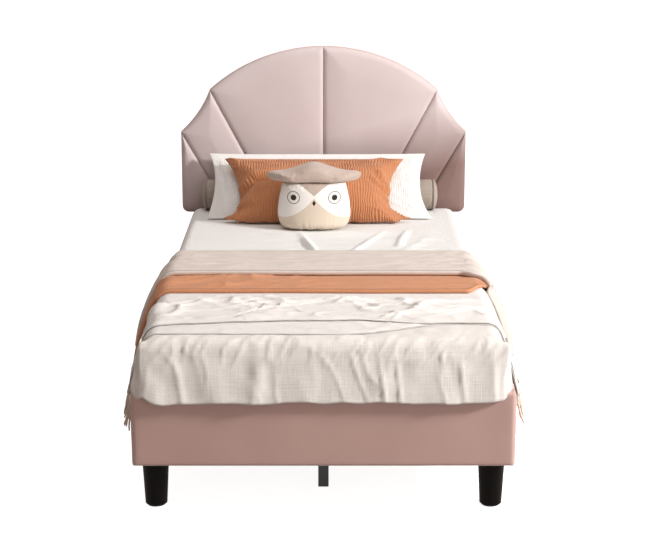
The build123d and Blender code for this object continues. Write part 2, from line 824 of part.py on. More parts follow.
def taupe_blanket():
    """Folded blanket: its front lies on the rust one and its back on the sheet."""
    high = 2 * cloth_gap + rust_thickness
    lifts = [
        (taupe_front, high),
        (rust_back + cloth_gap, high),
        (rust_back + cloth_gap + step_length, cloth_gap),
        (taupe_back, cloth_gap),
    ]
    return draped_band(taupe_front, taupe_back, taupe_thickness, side_drop, lifts)


# Cushions

def bolster_place():
    y = headboard_front_y - bolster_wall_gap - bolster_radius
    return Pos(bolster_x, y, mattress_top_z + seat_clearance + bolster_radius)


def bolster_piping(clearance):
    """The two rings of piping where the bolster's round ends are sewn on."""
    shift = bolster_length / 2 - bolster_dome
    ring_radius = bolster_radius - bolster_piping_radius
    ring = Torus(ring_radius, bolster_piping_radius + clearance)
    return [bolster_place() * Pos(side * shift, 0, 0) * Rot(0, 90, 0) * ring for side in sides.values()]


def bolster():
    """Round bolster with domed ends, lying against the headboard."""
    half = bolster_length / 2
    shoulder = half - bolster_dome
    radius = bolster_radius - bolster_piping_proud
    # the dome is an arc through the rim and the middle of the end
    bend = (radius ** 2 + bolster_dome ** 2) / (2 * bolster_dome)
    turn = math.asin(radius / bend) / 2
    mid = (half - bend * (1 - math.cos(turn)), bend * math.sin(turn))
    with BuildPart() as part:
        with BuildSketch(Plane.XY):
            with BuildLine():
                Line((-half, 0), (half, 0))
                ThreePointArc((half, 0), mid, (shoulder, radius))
                Line((shoulder, radius), (-shoulder, radius))
                ThreePointArc((-shoulder, radius), (-mid[0], mid[1]), (-half, 0))
            make_face()
        revolve(axis=Axis.X)
    body = bolster_place() * part.part
    for ring in bolster_piping(bolster_piping_clearance):
        body -= ring
    return one_solid(body)


# Levels of a cushion's half from its rim to its crown: share of the bulge, share of the size
# taken off all round, share of the drawn-in sides kept, and corner as a share of the height.
pillow_level_shares = (
    (0.0, 0.0, 1.0, 0.03),
    (0.4, 0.05, 0.75, 0.12),
    (0.72, 0.13, 0.35, 0.2),
    (0.92, 0.25, 0.1, 0.18),
    (1.0, 0.4, -0.2, 0.08),
)
pillow_corner_share = 0.29


def pillow_outline(size, taken, drawn, corner, height):
    """Outline of a cushion at one level: four sides drawn in, or out, between rounded corners."""
    half_x = size[0] / 2 - taken * size[1]
    half_y = size[1] / 2 - taken * size[1]
    ends = pillow_drawn_ends * drawn
    long_sides = pillow_drawn_sides * drawn
    inner = corner * pillow_corner_share
    points = []
    for sx, sy in ((1, 1), (-1, 1), (-1, -1), (1, -1)):
        near_x = (sx * half_x, sy * (half_y - corner))
        near_y = (sx * (half_x - corner), sy * half_y)
        mid = (sx * (half_x - inner), sy * (half_y - inner))
        points.append((near_x, mid, near_y) if sx == sy else (near_y, mid, near_x))
    side_mids = (
        (0, half_y - long_sides),
        (-half_x + ends, 0),
        (0, -half_y + long_sides),
        (half_x - ends, 0),
    )
    edges = []
    for k, (start, mid, end) in enumerate(points):
        edges.append(ThreePointArc(start, mid, end))
        edges.append(ThreePointArc(end, side_mids[k], points[(k + 1) % len(points)][0]))
    return Pos(0, 0, height) * make_face(edges)


def pillow_half(size, bulge, direction):
    """From the rim plane to the crown, towards +Z or -Z."""
    sections = []
    for rise, taken, drawn, corner in pillow_level_shares:
        height = direction * (pillow_rim / 2 + rise * bulge)
        sections.append(pillow_outline(size, taken, drawn, corner * size[1], height))
    return loft(sections)


def pillow(size, x, foot, lean_degrees, bulges):
    """A cushion with a crowned front and back, leaning back by its long lower edge. foot is how far
    that edge is from the mattress's head, and how high over the mattress."""
    edge_corner = pillow_level_shares[0][3] * size[1]
    rim = Pos(0, 0, -pillow_rim / 2) * extrude(pillow_outline(size, 0, 1, edge_corner, 0), pillow_rim)
    body = rim + pillow_half(size, bulges[0], 1) + pillow_half(size, bulges[1], -1)
    lean = math.radians(lean_degrees)
    up = (0, math.cos(lean), math.sin(lean))
    out = (0, -math.sin(lean), math.cos(lean))
    low = (x, mattress_head_y - foot[0], mattress_top_z + foot[1])
    middle = tuple(p + u * size[1] / 2 for p, u in zip(low, up))
    plane = Plane(origin=middle, x_dir=(1, 0, 0), z_dir=out)
    return one_solid(plane * body)


# Sections of the owl cushion's body from its base up: shares of its width, depth and height.
owl_body_level_shares = (
    (0.8, 0.62, 0.0),
    (0.95, 0.88, 0.12),
    (1.0, 1.0, 0.42),
    (0.94, 0.96, 0.76),
    (0.86, 0.84, 1.0),
)
# Outlines of its cap from the seam to the crown: shares of its width, height and half depth.
owl_cap_level_shares = (
    (1.0, 1.0, 0.03),
    (0.82, 0.93, 0.45),
    (0.66, 0.8, 0.78),
    (0.5, 0.56, 1.0),
)


def owl_base():
    return owl_x, mattress_head_y - owl_from_head, mattress_top_z + seat_clearance


def owl_body():
    x, y, z = owl_base()
    sections = []
    for wide, deep, rise in owl_body_level_shares:
        oval = Ellipse(wide * owl_body_width / 2, deep * owl_body_depth / 2)
        sections.append(Pos(x, y, z + rise * owl_body_height) * oval)
    return one_solid(loft(sections))


def owl_cap_outline(wide, tall):
    """Front view of the cap: a dome between two ears, on a straight lower edge."""
    half = owl_cap_width / 2 * wide
    neck = owl_cap_neck / 2 * wide
    ear_low, ear_high = owl_ear_low * tall, owl_ear_high * tall
    top = owl_cap_height * tall
    tip = half - owl_ear_slant * wide
    right = [
        Line((0, 0), (neck, 0)),
        ThreePointArc((neck, 0), ((neck + tip) / 2, ear_low / 4), (tip, ear_low)),
        ThreePointArc((tip, ear_low), (half, (ear_low + ear_high) / 2), (half, ear_high)),
        ThreePointArc((half, ear_high), (half * owl_ear_dip_share, ear_high * owl_ear_dip_share),
                      (neck * owl_dome_share, (ear_high + top) / 2)),
        ThreePointArc((neck * owl_dome_share, (ear_high + top) / 2),
                      (neck * owl_dome_share / 2, top * owl_dome_rise_share), (0, top)),
    ]
    left = [mirror(edge, about=Plane.YZ) for edge in right]
    return make_face(right + left)


def owl_cap():
    """Cap with two ear tufts, lofted from its seam to a crown in front and behind."""
    x, y, z = owl_base()
    halves = []
    for direction in (-1, 1):
        sections = []
        for wide, tall, rise in owl_cap_level_shares:
            place = (x, y + direction * rise * owl_cap_depth / 2, z + owl_body_height)
            plane = Plane(origin=place, x_dir=(1, 0, 0), z_dir=(0, -1, 0))
            sections.append(plane * owl_cap_outline(wide, tall))
        halves.append(loft(sections))
    plane = Plane(origin=(x, y + owl_cap_level_shares[0][2] * owl_cap_depth / 2, z + owl_body_height),
                  x_dir=(1, 0, 0), z_dir=(0, -1, 0))
    seam = extrude(plane * owl_cap_outline(1, 1), owl_cap_level_shares[0][2] * owl_cap_depth)
    return one_solid(seam + halves[0] + halves[1])


def all_parts():
    """Every node of the bed by name."""
    parts = {}
    places = {}
    for _, side, inward in corners():
        for point, direction in bracket_bolt_places(side, inward):
            board = {(1, 0): "side_right", (-1, 0): "side_left", (0, -1): "foot", (0, 1): "head"}
            places.setdefault(board[direction[:2]], []).append((point, direction))
    hole = bolt_radius + bolt_clearance
    depth = bolt_length_in_board + bolt_clearance
    ends = {"foot": (foot_y, 1), "head": (head_y, -1)}
    for name, (face_y, inward) in ends.items():
        board = bored_for_bolts(end_rail_board(face_y, inward), places[name], hole, depth)
        cover = end_rail_cover(face_y, inward)
        if name == "head":
            board, cover = one_solid(cut_post_bolts(board)), one_solid(cut_post_bolts(cover))
        parts[f"{name}_rail_board"] = board
        parts[f"{name}_rail_cover"] = cover
    for name, side in sides.items():
        board = bored_for_bolts(side_rail_board(side), places[f"side_{name}"], hole, depth)
        parts[f"side_rail_board_{name}"] = board
        parts[f"side_rail_cover_{name}"] = side_rail_cover(side)
        parts[f"headboard_post_{name}"] = headboard_post(side)
        for index, pad_name in enumerate(("centre", "middle", "wing")):
            parts[f"headboard_pad_{pad_name}_{name}"] = headboard_pad(side, index)
    for name, side, inward in corners():
        parts[f"leg_{name}"] = leg(side, inward)
    parts["leg_glides"] = group(leg_glide(s, i) for _, s, i in corners())
    parts["leg_studs"] = group(leg_stud(s, i) for _, s, i in corners())
    parts["leg_blocks"] = group(leg_block(s, i) for _, s, i in corners())
    parts["corner_brackets"] = group(corner_bracket(s, i) for _, s, i in corners())
    parts["corner_bolts"] = group(corner_bolts())
    parts["headboard_board"] = headboard_board()
    parts["headboard_border"] = headboard_border()
    parts["headboard_back_cover"] = headboard_back_cover()
    parts["headboard_bolts"] = group(post_bolts())
    for index in range(slat_count):
        parts[f"slat_{index + 1:02d}"] = slat(index)
    parts["slat_cleats"] = group(slat_cleat(side) for side in sides.values())
    parts["centre_beam"] = centre_beam()
    parts["beam_sockets"] = group([beam_socket(board_inner_foot_y, 1), beam_socket(board_inner_head_y, -1)])
    parts["centre_legs"] = group(centre_leg(y) for y in centre_leg_places())
    parts["centre_leg_plugs"] = group(centre_leg_plug(y) for y in centre_leg_places())
    parts["mattress"] = mattress()
    parts["fitted_sheet"] = fitted_sheet()
    parts["coverlet"] = coverlet()
    parts["fringed_throw"] = fringed_throw()
    parts["rust_blanket"] = rust_blanket()
    parts["taupe_blanket"] = taupe_blanket()
    parts["bolster"] = bolster()
    parts["bolster_piping"] = group(bolster_piping(0))
    parts["white_pillow"] = pillow(white_pillow_size, white_pillow_x, white_pillow_foot,
                                   white_pillow_lean_degrees, white_pillow_bulges)
    parts["rust_pillow"] = pillow(rust_pillow_size, rust_pillow_x, rust_pillow_foot,
                                  rust_pillow_lean_degrees, rust_pillow_bulges)
    parts["owl_body"] = owl_body()
    parts["owl_cap"] = owl_cap()
    return parts


os.makedirs("parts", exist_ok=True)
for node, shape in all_parts().items():
    export_step(shape, f"parts/{node}.step")
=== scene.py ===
import functools
import json
import math

import bmesh
import bpy
import numpy as np
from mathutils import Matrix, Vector


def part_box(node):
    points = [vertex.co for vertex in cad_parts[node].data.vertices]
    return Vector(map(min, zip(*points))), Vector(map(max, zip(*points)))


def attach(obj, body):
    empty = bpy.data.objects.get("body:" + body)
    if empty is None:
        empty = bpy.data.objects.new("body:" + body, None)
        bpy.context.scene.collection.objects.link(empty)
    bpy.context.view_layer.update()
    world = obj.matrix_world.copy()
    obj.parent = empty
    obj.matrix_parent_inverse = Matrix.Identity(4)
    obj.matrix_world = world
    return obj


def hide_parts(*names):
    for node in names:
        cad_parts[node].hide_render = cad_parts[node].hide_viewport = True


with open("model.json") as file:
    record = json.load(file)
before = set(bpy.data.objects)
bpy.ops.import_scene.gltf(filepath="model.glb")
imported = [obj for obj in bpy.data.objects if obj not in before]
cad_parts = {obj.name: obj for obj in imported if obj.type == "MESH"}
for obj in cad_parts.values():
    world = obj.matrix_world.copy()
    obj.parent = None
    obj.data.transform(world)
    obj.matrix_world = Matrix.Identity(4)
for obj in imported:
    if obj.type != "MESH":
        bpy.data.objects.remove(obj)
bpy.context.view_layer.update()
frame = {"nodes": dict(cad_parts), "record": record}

# Looks of a single upholstered bed, in metres, in the frame of the CAD model.
scene = bpy.context.scene
nodes_shown = frame["nodes"]

# Camera, fitted to the photograph
camera_place = (0.0, -5.4789, 1.7364)
camera_pitch = 0.2337
camera_lens_mm = 95.86
camera_shift_x = 0.0024

# Places of the bed that several pieces share
sheet_low, sheet_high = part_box("fitted_sheet")
top_z = sheet_high.z
mattress_foot_y = sheet_low.y
mattress_head_y = sheet_high.y
mattress_length = mattress_head_y - mattress_foot_y
mattress_half = sheet_high.x
drape_radius = 0.038
flat_half = mattress_half - drape_radius
flat_front_y = mattress_foot_y + drape_radius
flat_back_y = mattress_head_y - drape_radius
flat_middle_y = (flat_back_y + flat_front_y) / 2
flat_half_length = (flat_back_y - flat_front_y) / 2
cloth_gap = 0.0008
cloth_step = 0.006


# Noise and shapes in the plane

def smooth(t):
    t = np.clip(t, 0, 1)
    return t * t * (3 - 2 * t)


# A zone, wherever one is named below, is a start and a run for rise, or an edge and a width for edge_fade.
def rise(value, start, run):
    """From 0 to 1 over a run that begins at a start."""
    return smooth((value - start) / run)


def edge_fade(value, edge, width):
    """From 1 down to 0 over a width that ends at an edge."""
    return smooth((edge - value) / width)


def bell(distance, width):
    return np.exp(-(distance / width) ** 2)


def fading(distance, length):
    return np.exp(-distance / length)


noise_cells = 64


def noise(x, y, seed):
    """Smooth value noise from -1 to 1 at places in a plane."""
    table = np.random.RandomState(seed).rand(noise_cells, noise_cells)
    xi, yi = np.floor(x).astype(int), np.floor(y).astype(int)
    fx, fy = smooth(x - xi), smooth(y - yi)
    x0, x1 = xi % noise_cells, (xi + 1) % noise_cells
    y0, y1 = yi % noise_cells, (yi + 1) % noise_cells
    low = table[x0, y0] * (1 - fx) + table[x1, y0] * fx
    high = table[x0, y1] * (1 - fx) + table[x1, y1] * fx
    return 2 * (low * (1 - fy) + high * fy) - 1


def crease(x, y, turn, across, along, seed, sharpness):
    """Ridges from 0 to 1 that run along a direction, given as a turn in degrees."""
    c, s = math.cos(math.radians(turn)), math.sin(math.radians(turn))
    p, q = (x * c + y * s) / along, (-x * s + y * c) / across
    bent = noise(p * 2 + 7, q * 0.5 + 3, seed + 1)
    return (1 - np.abs(noise(p, q + 0.6 * bent, seed))) ** sharpness


def creases(x, y, rows):
    """Sum of ridges. A row gives their height, turn in degrees, width, length, seed and sharpness."""
    return sum(height * crease(x, y, *row) for height, *row in rows)


def hem_wobble(u, rows):
    """How a hem strays along its length. A row gives the height, the wave length, a line in the noise
    and the seed."""
    return sum(height * noise(u / length, 0 * u + line, seed) for height, length, line, seed in rows)


def place_by_line(x, y, line):
    """Signed distance from a drawn line, and the share of the way along it."""
    line = np.array(line, float)
    nearest, signed, along = np.full(np.shape(x), np.inf), 0 * x, 0 * x
    for k, (a, b) in enumerate(zip(line, line[1:])):
        run = b - a
        t = np.clip(((x - a[0]) * run[0] + (y - a[1]) * run[1]) / (run @ run), 0, 1)
        dx, dy = x - a[0] - t * run[0], y - a[1] - t * run[1]
        distance = np.hypot(dx, dy)
        closer = distance < nearest
        nearest = np.where(closer, distance, nearest)
        signed = np.where(closer, np.sign(run[0] * dy - run[1] * dx) * distance, signed)
        along = np.where(closer, (k + t) / (len(line) - 1), along)
    return signed, along


def fold_relief(x, y, line, width, depth):
    """A crease along a drawn line: one side of it rises and the other sinks."""
    signed, along = place_by_line(x, y, line)
    to_full_depth = 2.3
    ends = np.sqrt(np.maximum(np.sin(math.pi * along), 0))
    return depth * to_full_depth * signed / width * bell(signed, width) * ends


def ridge_relief(x, y, line, width, depth):
    """A raised fold along a drawn line, which runs out at the line's second end."""
    signed, along = place_by_line(x, y, line)
    return depth * bell(signed, width) * smooth((1 - along) / 0.6)


# Meshes

def add_object(name, points, faces, material, flat=None):
    mesh = bpy.data.meshes.new(name)
    mesh.from_pydata([tuple(p) for p in points], [], [tuple(f) for f in faces])
    mesh.validate()
    if flat is not None:
        attribute = mesh.attributes.new("flat", "FLOAT_VECTOR", "POINT")
        attribute.data.foreach_set("vector", np.asarray(flat, float).ravel())
    for polygon in mesh.polygons:
        polygon.use_smooth = True
    mesh.materials.append(material)
    obj = bpy.data.objects.new(name, mesh)
    scene.collection.objects.link(obj)
    return obj


def points_of(obj):
    co = np.zeros(len(obj.data.vertices) * 3)
    obj.data.vertices.foreach_get("co", co)
    return co.reshape(-1, 3)


def set_points(obj, co):
    obj.data.vertices.foreach_set("co", np.asarray(co).ravel())
    obj.data.update()


def normals_of(obj):
    out = np.zeros(len(obj.data.vertices) * 3)
    obj.data.vertex_normals.foreach_get("vector", out)
    return out.reshape(-1, 3)


def apply_modifiers(obj):
    graph = bpy.context.evaluated_depsgraph_get()
    graph.update()
    mesh = bpy.data.meshes.new_from_object(obj.evaluated_get(graph))
    obj.modifiers.clear()
    old = obj.data
    obj.data = mesh
    bpy.data.meshes.remove(old)
    for polygon in mesh.polygons:
        polygon.use_smooth = True


def subdivide(obj, levels):
    modifier = obj.modifiers.new("subdivide", "SUBSURF")
    modifier.levels = levels
    modifier.render_levels = levels
    apply_modifiers(obj)


weld_distance = 0.00002


def weld(obj, distance):
    modifier = obj.modifiers.new("weld", "WELD")
    modifier.merge_threshold = distance
    apply_modifiers(obj)


def spaced(low, high, step):
    return np.linspace(low, high, max(2, int(round((high - low) / step)) + 1))


def grid_faces(rows, columns, start=0, flip=False):
    faces = []
    for i in range(rows - 1):
        for j in range(columns - 1):
            a = start + i * columns + j
            face = (a, a + 1, a + columns + 1, a + columns)
            faces.append(face[::-1] if flip else face)
    return faces


def rim_of(rows, columns):
    """Numbers of the points round a grid's rim, in order."""
    grid = np.arange(rows * columns).reshape(rows, columns)
    return np.concatenate([grid[:, 0], grid[-1, 1:], grid[-2::-1, -1], grid[0, -2:0:-1]])


def band(first, second):
    """Faces between two closed loops of points."""
    loops = np.stack([np.roll(first, -1), first, second, np.roll(second, -1)], -1)
    return [tuple(face) for face in loops.tolist()]


def tube_faces(rings, sides, start=0, closed=False, flip=False):
    """Faces of a tube, with a flat face at either end unless it closes on itself."""
    loops = [start + k * sides + np.arange(sides) for k in range(rings)]
    faces = []
    for a, b in zip(loops, loops[1:] + (loops[:1] if closed else [])):
        faces += band(b, a)
    if not closed:
        faces += [tuple(loops[0][::-1].tolist()), tuple(loops[-1].tolist())]
    return [face[::-1] for face in faces] if flip else faces


def finish_piece(obj, body, slot, *replaced):
    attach(obj, body)
    if replaced:
        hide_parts(*replaced)
    return obj


# Materials

def new_material(name, colour, roughness, **sockets):
    material = bpy.data.materials.new(name)
    material.use_nodes = True
    shader = material.node_tree.nodes["Principled BSDF"]
    shader.inputs["Base Color"].default_value = (*colour, 1)
    shader.inputs["Roughness"].default_value = roughness
    for key, value in sockets.items():
        shader.inputs[key.replace("_", " ")].default_value = value
    return material, material.node_tree, shader


def place_source(tree, kind):
    """Where a texture reads its place from: the cloth laid flat, or the bed's own frame."""
    if kind == "flat":
        node = tree.nodes.new("ShaderNodeAttribute")
        node.attribute_name = "flat"
        return node.outputs["Vector"]
    return tree.nodes.new("ShaderNodeTexCoord").outputs["Object"]


def stretched_noise(tree, source, scales, detail=3.0, roughness=0.55):
    mapping = tree.nodes.new("ShaderNodeMapping")
    mapping.inputs["Scale"].default_value = scales
    texture = tree.nodes.new("ShaderNodeTexNoise")
    texture.inputs["Scale"].default_value = 1.0
    texture.inputs["Detail"].default_value = detail
    texture.inputs["Roughness"].default_value = roughness
    tree.links.new(source, mapping.inputs["Vector"])
    tree.links.new(mapping.outputs["Vector"], texture.inputs["Vector"])
    return texture.outputs["Fac"]


wave_period = 0.31416


def thread_wave(tree, source, pitch, direction):
    """Threads a pitch apart, slightly uneven."""
    texture = tree.nodes.new("ShaderNodeTexWave")
    texture.bands_direction = direction
    texture.inputs["Scale"].default_value = wave_period / pitch
    texture.inputs["Distortion"].default_value = 1.5
    texture.inputs["Detail Scale"].default_value = 0.4
    tree.links.new(source, texture.inputs["Vector"])
    return texture.outputs["Fac"]


def math_node(tree, operation, a, b=None):
    node = tree.nodes.new("ShaderNodeMath")
    node.operation = operation
    for socket, value in zip(node.inputs, (a, b)):
        if value is None:
            continue
        if isinstance(value, (int, float)):
            socket.default_value = value
        else:
            tree.links.new(value, socket)
    return node.outputs["Value"]


def colour_ramp(tree, factor, stops):
    node = tree.nodes.new("ShaderNodeValToRGB")
    elements = node.color_ramp.elements
    for k, (position, colour) in enumerate(stops):
        element = elements[k] if k < len(elements) else elements.new(position)
        element.position = position
        element.color = (*colour, 1)
    tree.links.new(factor, node.inputs["Fac"])
    return node.outputs["Color"]


def mix_colour(tree, factor, a, b, blend="MIX"):
    node = tree.nodes.new("ShaderNodeMix")
    node.data_type = "RGBA"
    node.blend_type = blend
    for socket, value in ((node.inputs[0], factor), (node.inputs[6], a), (node.inputs[7], b)):
        if isinstance(value, (int, float)):
            socket.default_value = value
        elif isinstance(value, tuple):
            socket.default_value = (*value, 1)
        else:
            tree.links.new(value, socket)
    return node.outputs[2]


def darkened(tree, colour, *shades):
    """A colour multiplied by one or more shades."""
    for shade in shades:
        colour = mix_colour(tree, 1.0, colour, shade, "MULTIPLY")
    return colour


def grey(value):
    return (value,) * 3


def bump(tree, shader, height, strength, distance):
    node = tree.nodes.new("ShaderNodeBump")
    node.inputs["Strength"].default_value = strength
    node.inputs["Distance"].default_value = distance
    tree.links.new(height, node.inputs["Height"])
    tree.links.new(node.outputs["Normal"], shader.inputs["Normal"])


def tint(colour, factor):
    return tuple(min(1.0, c * factor) for c in colour)


slub_stretch = 14
patch_scale = 14


def woven_fabric(name, colour, pitch, source="flat", slub=0.10, slub_scale=420, sheen=0.15, depth=0.0004,
                 cloud=0.06):
    """Plain weave: two sets of threads, thicker and thinner places in them, and soft larger patches."""
    material, tree, shader = new_material(name, colour, 0.92, Sheen_Weight=sheen, Sheen_Roughness=0.5,
                                          Specular_IOR_Level=0.2)
    place = place_source(tree, source)
    threads = math_node(tree, "ADD", *(thread_wave(tree, place, pitch, direction) for direction in "XY"))
    thin = slub_scale / slub_stretch
    slubs = math_node(tree, "ADD", stretched_noise(tree, place, (slub_scale, thin, thin)),
                      stretched_noise(tree, place, (thin, slub_scale, slub_scale)))
    patches = stretched_noise(tree, place, (patch_scale,) * 3, 2.0)
    tone = mix_colour(tree, slubs, tint(colour, 1 - slub), tint(colour, 1 + slub * 0.6))
    shade = colour_ramp(tree, patches, [(0.3, grey(1 - cloud)), (0.7, grey(1))])
    thread_shade = colour_ramp(tree, threads, [(0.2, grey(0.9)), (1.0, grey(1))])
    tree.links.new(darkened(tree, tone, shade, thread_shade), shader.inputs["Base Color"])
    height = math_node(tree, "ADD", threads, math_node(tree, "MULTIPLY", slubs, 2.0))
    bump(tree, shader, height, 0.6, depth)
    return material


# Painted shade on the headboard velvet: how far its line tilts across the width, and its darkest colour at
# the bottom
shade_slant = 0.27
painted_low_shade = (0.38, 0.28, 0.25)


def velvet(name, colour, sheen, painted_shade_heights=None):
    """Short pile: patches where the nap lies another way, fine grain and a pale sheen at the edges.
    painted_shade_heights gives two heights between which painted shade darkens the colour downward, reaching
    higher on the right."""
    material, tree, shader = new_material(name, colour, 0.7, Sheen_Weight=sheen, Sheen_Roughness=0.4,
                                          Sheen_Tint=(1.0, 0.93, 0.92, 1), Specular_IOR_Level=0.3)
    place = place_source(tree, "object")
    nap = stretched_noise(tree, place, (5, 5, 3), 3.0, 0.6)
    fine = stretched_noise(tree, place, (900, 900, 900), 2.0)
    shades = [colour_ramp(tree, nap, [(0.25, (0.93, 0.92, 0.92)), (0.75, grey(1))]),
              colour_ramp(tree, fine, [(0.3, grey(0.95)), (0.7, grey(1))])]
    # painted shade: darker toward the bottom of the headboard, reaching higher on the right
    if painted_shade_heights:
        low, high = painted_shade_heights
        calculate = functools.partial(math_node, tree)
        split = tree.nodes.new("ShaderNodeSeparateXYZ")
        tree.links.new(place, split.inputs["Vector"])
        across = calculate("MULTIPLY", split.outputs["X"], shade_slant)
        slanted = calculate("SUBTRACT", split.outputs["Z"], across)
        share = calculate("DIVIDE", calculate("SUBTRACT", slanted, low), high - low)
        shades.append(colour_ramp(tree, share, [(0.0, painted_low_shade), (1.0, grey(1))]))
    tree.links.new(darkened(tree, colour, *shades), shader.inputs["Base Color"])
    bump(tree, shader, math_node(tree, "ADD", fine, nap), 0.35, 0.0006)
    return material


def wood(name, colour, grain_scales, roughness=0.6):
    material, tree, shader = new_material(name, colour, roughness, Specular_IOR_Level=0.3)
    place = place_source(tree, "object")
    grain = stretched_noise(tree, place, grain_scales, 6.0, 0.7)
    broad = stretched_noise(tree, place, tuple(s / 6 for s in grain_scales), 2.0)
    both = math_node(tree, "ADD", *(math_node(tree, "MULTIPLY", texture, share)
                                    for texture, share in ((grain, 0.6), (broad, 0.4))))
    stops = [(0.3, tint(colour, 0.72)), (0.5, colour), (0.72, tint(colour, 1.15))]
    tree.links.new(colour_ramp(tree, both, stops), shader.inputs["Base Color"])
    bump(tree, shader, grain, 0.3, 0.0005)
    return material


def metal(name, colour, metallic, roughness, grain_scale, grain_depth):
    material, tree, shader = new_material(name, colour, roughness, Metallic=metallic)
    grain = stretched_noise(tree, place_source(tree, "object"), (grain_scale,) * 3, 4.0)
    stops = [(0.3, tint(colour, 0.8)), (0.7, tint(colour, 1.1))]
    tree.links.new(colour_ramp(tree, grain, stops), shader.inputs["Base Color"])
    rough = colour_ramp(tree, grain, [(0.3, grey(roughness * 0.8)), (0.7, grey(roughness * 1.25))])
    tree.links.new(rough, shader.inputs["Roughness"])
    bump(tree, shader, grain, 0.3, grain_depth)
    return material


def lacquer(name, colour):
    """Black lacquer over wood: half gloss, with a faint grain."""
    material, tree, shader = new_material(name, colour, 0.5, Specular_IOR_Level=0.05)
    grain = stretched_noise(tree, place_source(tree, "object"), (160, 160, 12), 5.0, 0.65)
    stops = [(0.3, tint(colour, 0.75)), (0.75, tint(colour, 1.6))]
    tree.links.new(colour_ramp(tree, grain, stops), shader.inputs["Base Color"])
    rough = colour_ramp(tree, grain, [(0.3, grey(0.45)), (0.7, grey(0.6))])
    tree.links.new(rough, shader.inputs["Roughness"])
    bump(tree, shader, grain, 0.25, 0.0003)
    return material


def linear(red, green, blue):
    """A colour as a monitor shows it, 0 to 255, turned into the values that shaders use."""
    shown = [value / 255 for value in (red, green, blue)]
    return tuple(c / 12.92 if c <= 0.04 else ((c + 0.055) / 1.055) ** 2.4 for c in shown)


wing_low, wing_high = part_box("headboard_pad_wing_right")
# heights on the headboard between which the velvet gets its painted shade
headboard_shade_heights = (wing_low.z + 0.05, wing_high.z - 0.02)
pink = velvet("pink_velvet", linear(206, 172, 164), 0.45)
# the headboard's velvet is a paler copy of the pink: its paler colour is painted light, for the brighter
# light on the headboard, and it also carries the painted shade toward the bottom
headboard_pink_painted_light = velvet("headboard_velvet_painted_light", linear(214, 200, 200), 0.7, headboard_shade_heights)
sheet_cotton = woven_fabric("sheet_cotton", linear(247, 247, 246), 0.0008, slub=0.02, cloud=0.02)
linen = woven_fabric("natural_linen", linear(240, 236, 231), 0.0022, slub=0.14, slub_scale=190, cloud=0.08,
                     depth=0.0010)
throw_weave = woven_fabric("throw_weave", linear(234, 231, 228), 0.0016, slub=0.08, slub_scale=240,
                           cloud=0.05)
fringe_yarn = woven_fabric("fringe_yarn", linear(226, 208, 188), 0.0016, cloud=0.12)
rust_weave = woven_fabric("rust_weave", linear(203, 142, 105), 0.0014, slub=0.08, slub_scale=260)
taupe_weave = woven_fabric("taupe_weave", linear(219, 208, 201), 0.0014, slub=0.06, slub_scale=260)
bolster_cotton = woven_fabric("bolster_cotton", linear(176, 163, 152), 0.0010, "object", slub=0.05)
piping_cord = woven_fabric("piping_cord", linear(158, 146, 136), 0.0008, "object", slub=0.05)
white_crinkle = woven_fabric("white_crinkle", linear(244, 243, 241), 0.0012, slub=0.04)
rust_crinkle = woven_fabric("rust_crinkle", linear(197, 133, 92), 0.0012, slub=0.08, sheen=0.25)
ticking = woven_fabric("mattress_ticking", linear(228, 228, 226), 0.0012, "object", slub=0.05)
back_felt = woven_fabric("back_felt", linear(58, 57, 58), 0.0010, "object", slub=0.2, sheen=0.3)
cap_plush = woven_fabric("owl_cap_plush", linear(196, 178, 167), 0.0016, "object", slub=0.06, sheen=0.4)


# Draping: every cloth is described flat, by how far it lies across the bed and along it

fold_shares = (0.00, 0.05, 0.10, 0.15, 0.20, 0.26, 0.32, 0.38, 0.44, 0.50, 0.57)
# at each share of the bed's length: degrees under the edge and at the hem, left, then right
fold_flares = np.array((
    (20, 11, 21, 11),
    (20, 11, 20, 12),
    (23, 10, 22, 11),
    (26, 12, 26, 10),
    (28, 9, 29, 12),
    (30, 8, 30, 6),
    (31, 4, 32, 6),
    (34, 4, 34, 5),
    (35, 8, 35, 7),
    (34, 5, 34, 8),
    (36, 8, 35, 7),
))
foot_flare_degrees = 17.0
foot_hem_flare_degrees = 12.0
side_drop = 0.150
foot_drop = 0.148
cloth_ripple = 0.006
side_ripple_lengths = (0.075, 0.034)
foot_ripple_lengths = (0.10, 0.045)
ripple_run = 0.2
corner_turn = 0.03
side_relief_run = 0.07


def flares_along(v, u):
    """Flare in degrees under the mattress's edge and at the hem, for the side that u lies on."""
    share = (v + drape_radius) / mattress_length
    columns = [np.interp(share, fold_shares, fold_flares[:, k]) for k in range(4)]
    return np.where(u < 0, columns[0], columns[2]), np.where(u < 0, columns[1], columns[3])


def hang(s, upper, lower, drop):
    """How far out and down a cloth is, s beyond the flat top: round the edge, then down in a slow bend."""
    turn = np.radians(90 - upper)
    end = np.radians(90 - lower)
    arc = drape_radius * turn
    on_arc = np.clip(s, 0, arc) / drape_radius
    out = drape_radius * np.sin(on_arc)
    down = drape_radius * (1 - np.cos(on_arc))
    rest = np.maximum(s - arc, 0)
    bend = drop / np.maximum(end - turn, 0.02)
    angle = turn + rest / bend
    out = out + bend * (np.sin(angle) - np.sin(turn))
    down = down + bend * (np.cos(turn) - np.cos(angle))
    return out, down


